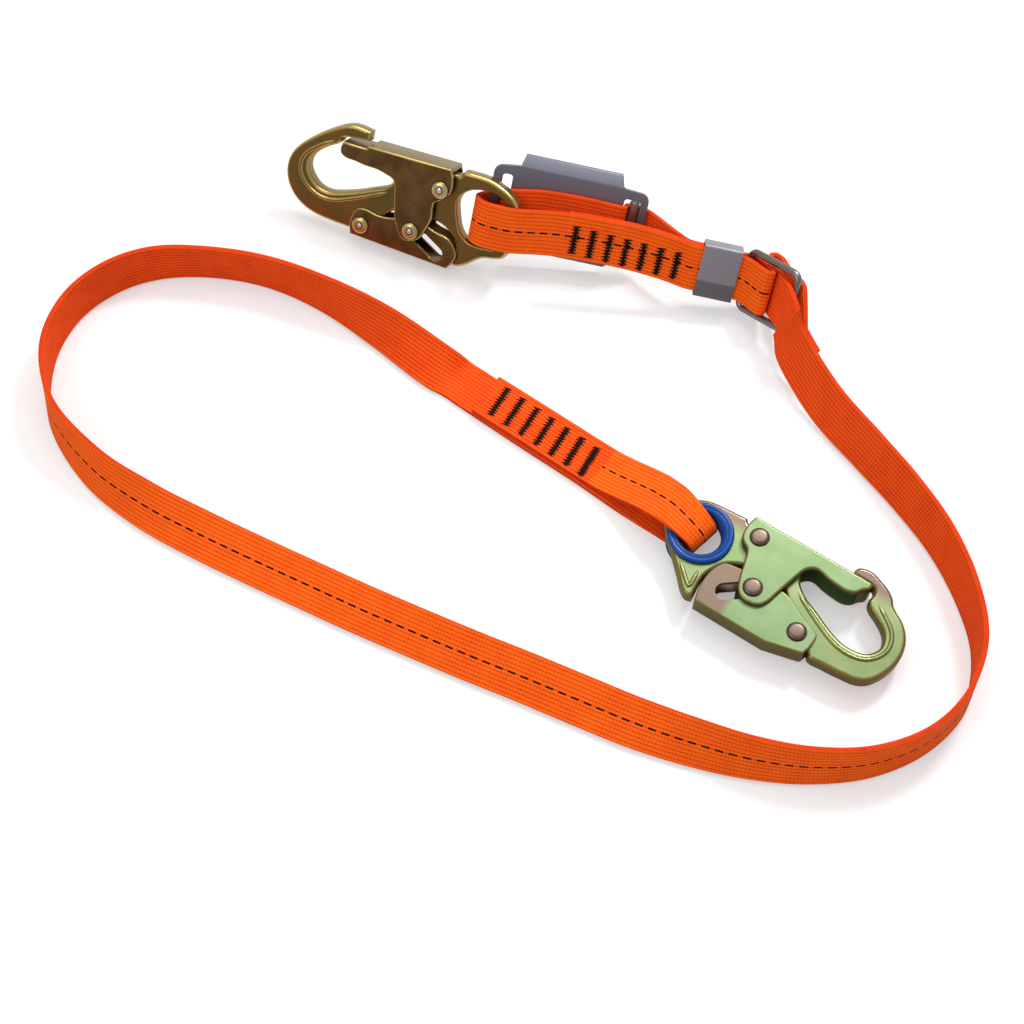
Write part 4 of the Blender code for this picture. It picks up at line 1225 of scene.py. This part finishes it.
    def disc(self, name: str, place: Matrix, profile: list, body: str,
             material: bpy.types.Material) -> None:
        """Turn a small disc on both faces of the hook from its outer edge inwards.

        Args:
            name: the piece's name.
            place: the frame of the disc's axis.
            profile: radius and height of each ring of points.
            body: the body that carries it.
            material: its finish.
        """
        sides = 32
        verts, faces = [], []
        for face in (1, -1):
            base = len(verts)
            for radius, height in profile:
                verts += [place @ Vector((radius * math.cos(math.tau * k / sides),
                                          radius * math.sin(math.tau * k / sides),
                                          face * height)) for k in range(sides)]
            faces += walls(base, len(profile), sides) + ends(base, len(profile), sides)
        settle(new_piece(name, verts, faces), body, material, (), 40.0)


@dataclass
class Bushing:
    """The moulded spool bushing in hook B's eye."""

    matrix: Matrix
    bore: float = 10.75
    barrel: float = 13.9
    radius: float = 17.0
    half: float = 6.5

    def build(self, material: bpy.types.Material) -> None:
        """Spin the bushing's profile and settle it.

        Args:
            material: the bushing's finish.
        """
        flange = BODY_HALF + GAP
        middle = (self.bore + self.radius) / 2 + 0.3
        top = [(self.barrel, flange), (self.radius - 0.3, flange), (self.radius, flange + 0.4),
               (self.radius, self.half - 0.9), (self.radius - 0.35, self.half - 0.3),
               (self.radius - 1.0, self.half), (middle + 0.5, self.half),
               (middle, self.half - 0.35), (middle - 0.5, self.half - 0.1)]
        throat = [(self.bore + (middle - 0.5 - self.bore) * (1 - math.cos(t)),
                   (self.half - 0.1) * math.sin(t))
                  for t in (math.radians(86 - 172 * k / 14) for k in range(15))]
        profile = top + throat + [(x, -y) for x, y in reversed(top)]
        steps = 96
        verts = []
        for k in range(steps):
            turn = math.tau * k / steps
            for x, y in profile:
                spot = Vector((BUSHING_CENTRE[0] + x * math.cos(turn),
                               BUSHING_CENTRE[1] + x * math.sin(turn), y))
                verts.append(self.matrix @ spot)
        faces = walls(0, steps, len(profile), closed=True)
        settle(new_piece("spool_bushing", verts, faces), "bushing", material,
               ("bushing_b",), 40.0)


@dataclass
class Fittings:
    """The adjuster with its roller, the keeper and the rectangular ring."""

    strap: Matrix
    rim_low: float = -13.4       # lower edge of the adjuster's plate, across the strap
    rim_high: float = 31.4       # its upper edge
    rim_ends: tuple = (0.4, 57.2)
    rim_taper: float = 2.0       # how much shorter a rim is at its free edge, at each end
    rim_bend: float = 4.5        # how far a rim's free edge is bent back
    ring_start: tuple = (131.0, -2.8, 0.0)
    ring_turn: float = -45.0     # degrees from the strap's run
    ring_length: float = 34.0    # between the middles of its end bars
    ring_half: float = 16.0      # half its width, to the middle of the rod
    ring_bend: float = 4.0
    rod_radius: float = 2.0
    keeper_ends: tuple = (105.0, 126.0)
    keeper_wall: float = 1.2

    def adjuster(self, material: bpy.types.Material) -> None:
        """Make the adjuster's plate with its ears, slots and bent rims.

        Args:
            material: the plate's finish.
        """
        turn = self.strap @ Matrix(((1, 0, 0, 0), (0, 0, -1, 0), (0, 1, 0, 0), (0, 0, 0, 1)))
        low, high = -PLATE_D - PLATE_THICKNESS, -PLATE_D
        outline = (arc((-8.2, -8.4), 5.0, 180, 270, 8) + arc((66.6, -8.4), 5.0, 270, 360, 8)
                   + arc((66.6, 25.4), 5.0, 0, 84, 8)
                   + [(58.2, 31.0), (57.4, self.rim_high), (0.2, self.rim_high)]
                   + arc((-8.2, 25.2), 5.0, 96, 180, 8))

        def slot(span: tuple) -> list:
            """Return a slot's outline with round corners."""
            r = 1.6
            lo, hi = span
            return (arc((lo + r, SLOT_W[0] + r), r, 180, 270, 5)
                    + arc((hi - r, SLOT_W[0] + r), r, 270, 360, 5)
                    + arc((hi - r, SLOT_W[1] - r), r, 0, 90, 5)
                    + arc((lo + r, SLOT_W[1] - r), r, 90, 180, 5))

        body = plate("adjuster_plate", turn, outline, [slot(SLOT_LEFT), slot(SLOT_RIGHT)], low,
                     high, 0.55)
        start, end = self.rim_ends
        for edge, rise in ((self.rim_high, 5.6), (self.rim_low, -3.2)):
            root = edge - rise * 0.12
            corners = [(start, root), (end, root), (end - self.rim_taper, edge + rise),
                       (start + self.rim_taper, edge + rise)]
            rim = plate("adjuster_rim", turn, corners, [], low, high, 0.5)
            back = turn.inverted()
            push = turn.to_3x3() @ Vector((0, 0, -1))
            for vert in rim.data.vertices:
                local = back @ (vert.co / MM + FRAME_ORIGIN)
                outside = max(0.0, (local.y - edge) / rise)
                vert.co += push * (outside * self.rim_bend * MM)
            combine(body, rim, "UNION")
        settle(body, "webbing", material, ("adjuster_frame",))

    def dress_nodes(self, nodes: dict, finishes: dict[str, bpy.types.Material]) -> None:
        """Give the carried-over CAD nodes their finishes.

        Args:
            nodes: the frame's nodes by name.
            finishes: a material for each node's name.
        """
        for name, material in finishes.items():
            node = nodes[name]
            node.data.materials.clear()
            node.data.materials.append(material)
            LOG.info("%s: CAD node kept", name)

    def ring(self, material: bpy.types.Material) -> None:
        """Bend the ring from round rod.

        Args:
            material: the rod's finish.
        """
        turn = math.radians(self.ring_turn)
        base = self.strap.to_3x3()
        along = base @ Vector((math.cos(turn), math.sin(turn), 0.0))
        across = base @ Vector((0, 0, 1))
        origin = self.strap @ Vector(self.ring_start)
        place = Matrix.Translation(origin) @ Matrix((along, across,
                                                     along.cross(across))).transposed().to_4x4()
        length, half, bend = self.ring_length, self.ring_half, self.ring_bend
        rod = self.rod_radius
        path = []
        for x, y, start in ((length - bend, half - bend, 0), (bend, half - bend, 90),
                            (bend, bend - half, 180), (length - bend, bend - half, 270)):
            path += arc((x, y), bend, start, start + 90, 12)
        verts = []
        sides, count = 24, len(path)
        for k, point in enumerate(path):
            ahead = (Vector(path[(k + 1) % count]) - Vector(path[k - 1])).normalized()
            out = Vector((ahead.y, -ahead.x))
            for j in range(sides):
                angle = math.tau * j / sides
                flat = Vector(point) + out * (rod * math.cos(angle))
                verts.append(place @ Vector((flat.x, flat.y, rod * math.sin(angle))))
        settle(new_piece("rod_ring", verts, walls(0, count, sides, closed=True)), "webbing",
               material, ("rectangular_ring",), 60.0)

    def keeper(self, material: bpy.types.Material) -> None:
        """Make the keeper band with softly rolled edges.

        Args:
            material: the band's finish.
        """
        turn = self.strap @ Matrix(((0, 0, 1, 0), (-1, 0, 0, 0), (0, -1, 0, 0), (0, 0, 0, 1)))
        middle = FRONT_D + LAYER_PITCH
        half_d = LAYER_PITCH + WEB_THICKNESS / 2 + GAP
        half_w = WEB_WIDTH / 2 + 1.0

        def band(grow: float, corner: float) -> list:
            """Return the band's outline, grown by a wall."""
            x, y = half_d + grow, half_w + grow
            out = []
            for sx, sy, start in ((1, 1, 0), (-1, 1, 90), (-1, -1, 180), (1, -1, 270)):
                out += arc((sx * (x - corner), sy * (y - corner)), corner, start, start + 90, 8)
            return out

        place = turn @ Matrix.Translation((-middle, -1.2, 0.0))
        piece = plate("keeper_sleeve", place, band(self.keeper_wall, 1.6), [band(0.0, 0.5)],
                      *self.keeper_ends, 0.3, 3)
        settle(piece, "keeper", material, ("keeper_band",))


def on_height(pixel: tuple[float, float], height: float) -> Vector:
    """Find the point at a height that a pixel of the picture shows.

    Args:
        pixel: the pixel's column and row.
        height: the point's height above the floor, in millimetres.

    Returns:
        The point of the measuring frame.
    """
    lift = math.radians(VIEW_LIFT)
    back = Vector((0, -math.cos(lift), math.sin(lift)))
    up = Vector((0, math.sin(lift), math.cos(lift)))
    scale = VIEW_LENS / SENSOR * PICTURE
    x, y = pixel[0] - PICTURE / 2, PICTURE / 2 - pixel[1]
    ray = (Vector((1, 0, 0)) * x + up * y - back * scale).normalized()
    camera = back * VIEW_DISTANCE
    return camera + ray * ((height - camera.z) / ray.z)


@dataclass
class Bartack:
    """One bar of zigzag stitches, sewn across a strap."""

    start: Vector
    end: Vector
    normal: Vector
    width: float = 5.2
    pitch: float = 0.84          # mm between two stitches

    def stitches(self, chance: random.Random) -> tuple[list, list]:
        """Sew the bar's stitches.

        Args:
            chance: the source of the small differences between stitches.

        Returns:
            Their points and faces.
        """
        run = (self.end - self.start)
        count = round(run.length / self.pitch)
        along = run.normalized()
        aside = self.normal.cross(along).normalized()
        ring_count, side_count = 5, 6
        verts, faces = [], []
        for k in range(count):
            middle = self.start + run * ((k + 0.5) / count)
            tilt = math.radians(9 if k % 2 else -6)
            line = aside * math.cos(tilt) + along * math.sin(tilt)
            other = self.normal.cross(line)
            reach = 0.56 if k % 2 else 1.0
            half = self.width / 2 * reach * (0.9 + 0.2 * chance.random())
            middle = middle + aside * (chance.random() - 0.5) * 0.4
            base = len(verts)
            for r in range(ring_count):
                share = -1 + 2 * r / (ring_count - 1)
                swell = math.sqrt(max(0.03, 1 - share ** 4))
                for s in range(side_count):
                    turn = math.tau * s / side_count
                    verts.append(middle + line * (share * half)
                                 + other * (math.cos(turn) * 0.44 * swell)
                                 + self.normal * (math.sin(turn) * 0.34 * swell + 0.1))
            faces += walls(base, ring_count, side_count) + ends(base, ring_count, side_count)
        return verts, faces


@dataclass
class Stitching:
    """The sewn bars on both straps."""

    strap: Matrix
    bars: int = 7

    def build_set(self, name: str, tacks: list[Bartack], material: bpy.types.Material) -> None:
        """Make one piece of several bars.

        Args:
            name: the piece's name.
            tacks: the bars.
            material: the thread's finish.
        """
        chance = random.Random(7)
        verts, faces = [], []
        for tack in tacks:
            more, rings = tack.stitches(chance)
            faces += [tuple(v + len(verts) for v in face) for face in rings]
            verts += more
        settle(new_piece(name, verts, faces), "webbing", material, (), 60.0)

    def build(self, black: bpy.types.Material, brown: bpy.types.Material) -> None:
        """Make the bars beside hook A and beside hook B.

        Args:
            black: the thread beside hook A.
            brown: the thread beside hook B.
        """
        depth = FRONT_D - WEB_THICKNESS / 2
        front = self.strap.to_3x3() @ Vector((0, -1, 0))
        tacks = []
        for k in range(self.bars):
            share = k / (self.bars - 1)
            t = 36.4 + 55.9 * share
            high = self.strap @ Vector((t, depth, 10.5 - 2.3 * share))
            low = self.strap @ Vector((t, depth, -5.1 - 2.1 * share))
            tacks.append(Bartack(high, low, front))
        self.build_set("bar_tacks_a", tacks, black)
        tacks = []
        for k in range(self.bars):
            share = k / (self.bars - 1)
            height = 5.45 if share < 0.8 else 5.45 + (share - 0.8) * 2.5
            top, foot = (Vector(first).lerp(Vector(last), share)
                         for first, last in (TACK_TOP_PIXELS, TACK_FOOT_PIXELS))
            tacks.append(Bartack(on_height(top, height), on_height(foot, height),
                                 Vector((0, 0, 1))))
        self.build_set("bar_tacks_b", tacks, brown)


def hook_shapes(hook_a: Matrix, hook_b: Matrix) -> tuple[SnapHook, SnapHook]:
    """Return both hooks with their outlines in their own frames.

    Args:
        hook_a: hook A's frame.
        hook_b: hook B's frame.

    Returns:
        Hook A and hook B.
    """
    b = SnapHook(
        side="b", matrix=hook_b,
        body=[(-10.2, 9.0), (-22.5, 9.1)] + arc(BUSHING_CENTRE, 19.6, 96, 187, 8) + [
            (-43.7, -17.6), (-35.2, -26.6), (-28.2, -34.6), (-21.4, -42.6), (-18.4, -44.0),
            (-15.6, -43.4), (-15.6, -31.0), (-13.4, -26.0), (-9.6, -20.4), (-4.0, -17.0),
            (4.0, -14.6), (12.0, -14.2), (20.0, -16.0), (24.5, -19.5), (28.0, -26.0),
            (30.4, -33.0), (30.4, -41.2), (46.4, -42.2), (48.4, -44.5), (54.7, -44.9),
            (67.5, -44.8), (72.8, -44.4), (78.2, -42.2), (82.4, -37.5), (86.3, -29.8),
            (87.8, -20.7), (86.1, -12.3), (81.6, -5.5), (73.8, 0.7), (72.0, 3.9),
            (68.6, 7.3), (61.8, 11.0), (57.3, 12.8), (52.7, 12.6), (50.0, 11.4),
            (48.9, 9.0), (49.2, 6.3), (54.0, 5.9), (60.6, 4.9), (61.9, 3.6), (62.2, 1.0),
            (61.6, -2.4), (63.1, -5.3), (69.0, -9.4), (74.2, -13.8), (76.4, -17.8),
            (76.8, -22.7), (74.8, -26.4), (71.4, -29.1), (65.4, -30.1), (59.5, -29.3),
            (51.5, -26.0), (41.4, -20.1), (32.5, -15.0), (28.3, -10.5), (26.0, -4.9),
            (14.5, 0.4), (2.7, 5.8), (-8.4, 6.7)],
        window=circle(BUSHING_CENTRE, 14.2, 48),
        gate=[(-6.4, 9.6), (-7.6, 6.2), (-8.2, -2.4), (-6.4, -5.8), (-2.8, -8.6),
              (-1.0, -15.2), (0.8, -24.9), (3.0, -31.0), (6.4, -33.9), (12.2, -34.4),
              (16.0, -32.9), (18.3, -30.0), (21.1, -22.1), (24.3, -12.9), (27.3, -5.3),
              (29.5, -3.0), (32.4, -1.9), (38.8, -3.7), (45.0, -5.0), (49.9, -5.5),
              (54.0, -4.3), (57.1, -0.9), (59.5, 1.0), (60.4, 4.1), (53.5, 5.1),
              (48.7, 5.4), (34.1, 6.6), (14.5, 8.1), (4.6, 8.8), (-3.5, 9.6)],
        gate_rim=[(-20.0, 7.7), (-3.5, 7.7), (4.6, 7.0), (14.5, 6.3), (34.1, 4.8),
                  (48.7, 3.6), (55.5, 3.2), (55.5, -60.0), (-20.0, -60.0)],
        lever=[(-13.7, -45.2), (-14.4, -40.7), (-14.7, -33.4), (-13.8, -27.5),
               (-11.0, -21.4), (-9.0, -19.7), (-6.5, -19.1), (22.5, -19.6), (27.8, -21.4),
               (35.7, -26.4), (47.0, -32.6), (47.4, -34.5), (45.4, -44.2), (44.4, -45.2)],
        lever_rim=[(-30.0, -43.4), (60.0, -43.4), (60.0, 0.0), (-30.0, 0.0)],
        pin=(8.8, -26.3), pivot=(37.7, -36.1), slot=((8.8, -26.3), (-2.6, -34.1), 4.4),
        ridges=[[(29.1, -15.8), (36.0, -20.5), (46.5, -27.2), (56.2, -32.2), (65.2, -33.8),
                 (73.0, -32.2), (78.6, -27.0), (80.6, -20.5), (78.6, -13.4), (73.0, -7.4),
                 (66.0, -2.0)],
                [(-30.4, -28.0), (-20.0, -39.2), (-19.2, -38.2), (-19.2, -27.6)]],
        roll=1.9, hole_roll=0.15, pinned_rivets=False)
    a = SnapHook(
        side="a", matrix=hook_a,
        body=[(-9.5, 12.7), (-23.0, 13.3), (-30.8, 11.5), (-37.2, 8.8), (-41.4, 5.8),
              (-43.2, 2.4), (-43.2, -23.0), (-41.4, -26.6), (-36.6, -28.6), (-30.3, -30.4),
              (-22.6, -36.9), (-17.8, -39.8), (-14.9, -40.2), (-14.9, -30.0),
              (-12.5, -25.4), (-6.0, -20.8), (3.0, -18.8), (14.0, -18.5), (20.5, -19.6),
              (26.5, -23.5), (31.0, -31.0), (31.2, -38.6), (37.0, -39.8), (46.0, -40.2),
              (55.5, -40.3), (67.4, -39.8), (75.7, -37.9), (83.6, -33.2), (88.7, -26.5),
              (90.7, -19.6), (90.2, -12.9), (87.1, -6.3), (80.0, 1.6), (69.3, 10.2),
              (61.7, 14.9), (56.4, 16.4), (46.6, 15.9), (46.4, 10.6), (59.2, 8.6),
              (61.8, 7.4), (62.3, 4.9), (69.0, -0.1), (75.5, -6.0), (78.0, -10.6),
              (78.0, -15.2), (75.1, -19.8), (69.9, -23.6), (63.9, -24.3), (58.3, -22.8),
              (48.5, -18.9), (39.9, -14.5), (29.6, -8.4), (27.5, -2.9), (22.0, 0.5),
              (12.9, 4.7), (3.0, 8.4), (-7.6, 9.8)],
        window=[(-34.8, 4.6), (-28.3, 6.6), (-16.1, 4.2), (-10.9, -0.4), (-9.4, -5.1),
                (-11.2, -12.5), (-14.8, -20.4), (-19.8, -24.0), (-26.1, -24.6),
                (-34.8, -23.6)],
        gate=[(-3.5, 12.8), (-5.8, 6.6), (-6.0, 0.3), (-3.0, -4.4), (1.8, -8.0),
              (1.9, -11.7), (1.2, -16.1), (3.3, -25.2), (5.8, -30.8), (10.0, -33.6),
              (14.6, -34.2), (17.4, -32.2), (22.3, -22.7), (25.3, -8.9), (26.2, -5.5),
              (28.0, -3.4), (31.5, -2.4), (37.5, -1.4), (45.0, -1.6), (50.9, -1.1),
              (56.6, -1.0), (59.7, 0.7), (60.4, 3.2), (59.5, 7.2), (45.6, 7.9),
              (44.5, 9.6)],
        gate_rim=[(-20.0, 11.0), (-3.5, 11.0), (43.2, 7.8), (44.0, 6.1), (55.5, 5.4),
                  (55.5, -60.0), (-20.0, -60.0)],
        lever=[(45.8, -42.4), (47.2, -37.0), (45.8, -28.9), (43.5, -26.4), (39.7, -25.8),
               (31.8, -26.8), (22.9, -25.0), (17.0, -22.4), (6.0, -22.2), (-1.2, -24.3),
               (-10.1, -25.8), (-15.1, -30.6), (-16.4, -33.9), (-14.1, -39.9),
               (-12.5, -42.4)],
        lever_rim=[(-30.0, -40.6), (60.0, -40.6), (60.0, 0.0), (-30.0, 0.0)],
        pin=(11.3, -27.9), pivot=(40.8, -35.6), slot=((11.3, -27.9), (-4.8, -36.2), 4.0),
        ridges=[[(30.0, -12.8), (40.0, -18.6), (49.0, -23.2), (58.0, -27.2), (66.0, -28.6),
                 (73.6, -26.6), (80.0, -21.4), (82.6, -14.6), (80.6, -7.6), (73.6, -0.8),
                 (65.5, 5.0)]],
        roll=2.0, hole_roll=1.0, pinned_rivets=True)
    return a, b


def set_stage() -> None:
    """Lay the white floor and light it softly; the floor keeps the object's shadows."""
    deselect()
    bpy.ops.mesh.primitive_plane_add(size=8.0, location=(0, 0, -0.0001))
    floor = bpy.context.active_object
    floor.name = "studio_floor"
    material, tree = blank_material("studio_paper")
    base = add_node(tree, "ShaderNodeBsdfDiffuse", Color=linear("#cccccc"))
    glow = add_node(tree, "ShaderNodeEmission", Color=(1, 1, 1, 1), Strength=0.36)
    path = add_node(tree, "ShaderNodeLightPath")
    both = add_node(tree, "ShaderNodeAddShader", in_0=base.outputs[0], in_1=glow.outputs[0])
    place = add_node(tree, "ShaderNodeTexCoord")
    reach = add_node(tree, "ShaderNodeVectorMath", {"operation": "LENGTH"},
                     in_0=place.outputs["Object"])
    far = add_node(tree, "ShaderNodeMapRange", Value=reach.outputs["Value"], From_Min=0.45,
                   From_Max=1.1)
    white = add_node(tree, "ShaderNodeEmission", Color=(1, 1, 1, 1), Strength=1.0)
    paper = add_node(tree, "ShaderNodeMixShader", Fac=far.outputs[0], in_1=both.outputs[0],
                     in_2=white.outputs[0])
    seen = add_node(tree, "ShaderNodeMixShader", Fac=path.outputs["Is Camera Ray"],
                    in_1=base.outputs[0], in_2=paper.outputs[0])
    close_material(tree, seen)
    floor.data.materials.append(material)

    world = bpy.data.worlds.new("studio_air")
    world.use_nodes = True
    air = world.node_tree
    air.nodes.clear()
    rays = add_node(air, "ShaderNodeLightPath")
    soft = add_node(air, "ShaderNodeBackground", Color=(1, 1, 1, 1), Strength=0.6)
    dim = add_node(air, "ShaderNodeBackground", Color=(1, 0.98, 0.96, 1), Strength=0.42)
    white = add_node(air, "ShaderNodeBackground", Color=(1, 1, 1, 1), Strength=1.0)
    shiny = add_node(air, "ShaderNodeMixShader", Fac=rays.outputs["Is Glossy Ray"])
    air.links.new(soft.outputs[0], shiny.inputs[1])
    air.links.new(dim.outputs[0], shiny.inputs[2])
    seen_air = add_node(air, "ShaderNodeMixShader", Fac=rays.outputs["Is Camera Ray"])
    air.links.new(shiny.outputs[0], seen_air.inputs[1])
    air.links.new(white.outputs[0], seen_air.inputs[2])
    sky = air.nodes.new("ShaderNodeOutputWorld")
    air.links.new(seen_air.outputs[0], sky.inputs["Surface"])
    bpy.context.scene.world = world

    for name, place, size, power in (("overhead_panel", (-0.1, 0.75, 1.45), 1.0, 8.5),
                                     ("key_panel", (0.6, 0.85, 1.15), 0.28, 15.0),
                                     ("fill_panel", (-1.0, -0.5, 1.2), 0.8, 5.0)):
        light = bpy.data.lights.new(name, "AREA")
        light.size = size
        light.energy = power
        lamp = bpy.data.objects.new(name, light)
        bpy.context.scene.collection.objects.link(lamp)
        lamp.location = place
        lamp.rotation_euler = (Vector((0, 0, 0)) - Vector(place)).to_track_quat("-Z", "Y").to_euler()


def set_camera() -> None:
    """Place the camera where the photograph was taken from."""
    lens = bpy.data.cameras.new("photo_camera")
    lens.lens = VIEW_LENS
    lens.sensor_width = SENSOR
    camera = bpy.data.objects.new("photo_camera", lens)
    bpy.context.scene.collection.objects.link(camera)
    lift = math.radians(VIEW_LIFT)
    back = Vector((0, -math.cos(lift), math.sin(lift)))
    camera.location = (back * VIEW_DISTANCE - FRAME_ORIGIN) * MM
    camera.rotation_euler = (math.radians(90 - VIEW_LIFT), 0, 0)
    bpy.context.scene.camera = camera
    bpy.context.scene.view_settings.view_transform = "Standard"


def main() -> None:
    """Build the lanyard's pieces in order."""
    logging.basicConfig(level=logging.INFO, format="%(message)s")
    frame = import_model()
    set_camera()
    hook_a, hook_b = hook_a_frame(), hook_b_frame()
    strap = strap_frame(hook_a)
    back_a = tuple(hook_a.to_3x3() @ Vector((0, 0, 1)))
    wide = tuple(strap.to_3x3() @ Vector((0, 0, 1)))

    # The weave without a tracer gets darker, redder colours than the traced weave: painted shade on
    # the faces turned from the light.
    plain_painted_shade = WovenPolyester("woven_polyester", False, "#f8570d", "#b91802").build()
    traced = WovenPolyester("woven_polyester_traced", True).build()
    WebbingSet(strap).build(plain_painted_shade, traced)
    Stitching(strap).build(SewingThread("black_thread", "#0b0908").build(),
                           SewingThread("dark_brown_thread", "#26110c").build())

    shape_a, shape_b = hook_shapes(hook_a, hook_b)
    along_b = tuple(hook_b.to_3x3() @ Vector((1, 0, 0)))
    beside_b = tuple(hook_b.to_3x3() @ Vector((0, 1, 0)))
    rivet = Vector(hook_b.translation) - FRAME_ORIGIN
    rivet_b = float(rivet.dot(Vector(along_b))) * MM
    height_b = float(rivet.dot(Vector(beside_b))) * MM
    green = ZincPlate("green_zinc_plate", "#6a8155", "#768b61", "#8a702a", "#5e5c28", (0, 0, 1),
                      0.6, 0.36, 14.0)
    lever = ZincPlate("green_zinc_lever", "#6a8155", "#768b61", "#8a702a", "#6c642a", (0, 0, 1),
                      0.6, 0.36, 14.0, "#705d4e", along_b, rivet_b - 0.0002, rivet_b + 0.0038)
    forging = ZincPlate("green_zinc_forging", "#6f8556", "#80885e", "#8c7428", "#66622c",
                        (0, 0, 1), 0.65, 0.3, 16.0, "#6e5d50", beside_b,
                        height_b + 0.005, height_b - 0.002)
    shape_b.build(forging.build(), green.build(), lever.build(),
                  ToneAndShadeMetal("rivet_brown", "#68574d", "#726055", (0, 0, 1), 0.0, 0.02, 0.8,
                               0.36).build(), "green_zinc")
    brown = ZincPlate("brown_zinc_plate", "#7a5c34", "#5e4526", "#d6c074", "#8c7648", back_a,
                      0.85, 0.3)
    forged = ZincPlate("brown_zinc_forging", "#8a6230", "#6a6234", "#d6c074", "#9a824a", back_a,
                       0.85, 0.28)
    shape_a.build(forged.build(), brown.build(), brown.build(),
                  ToneAndShadeMetal("rivet_gold", "#c2aa66", "#d8c486", (0, 0, 1), 0.0, 0.04, 0.9,
                               0.22).build(), "brown_zinc")
    Bushing(hook_b).build(MouldedNylon("blue_nylon", "#013a80", "#03448e").build())

    fittings = Fittings(strap)
    centre = float((Vector(strap.translation) - FRAME_ORIGIN).dot(Vector(wide))) * MM
    # Towards the strap the plate takes a reddish low tone, a painted reflection of the orange
    # webbing; its upper rim is lighter, as painted light.
    fittings.adjuster(ToneAndShadeMetal("grey_paint_painted_reflection", "#665058", "#747684", wide, centre + 0.008,
                                   centre + 0.034).build())
    # The keeper is darker below a line across its band and lighter above it: painted shade and
    # painted light.
    fittings.keeper(ToneAndShadeMetal("keeper_steel_painted_shade", "#66646a", "#8c8a92", wide, centre - 0.0045,
                                 centre - 0.0035).build())
    steel = ToneAndShadeMetal("drawn_steel", "#8d8a88", "#8d8a88", wide, 0.0, 1.0, 0.9, 0.3).build()
    fittings.ring(steel)
    fittings.dress_nodes(frame["nodes"], {"adjuster_roller": steel})
    set_stage()


if __name__ == "__main__":
    main()
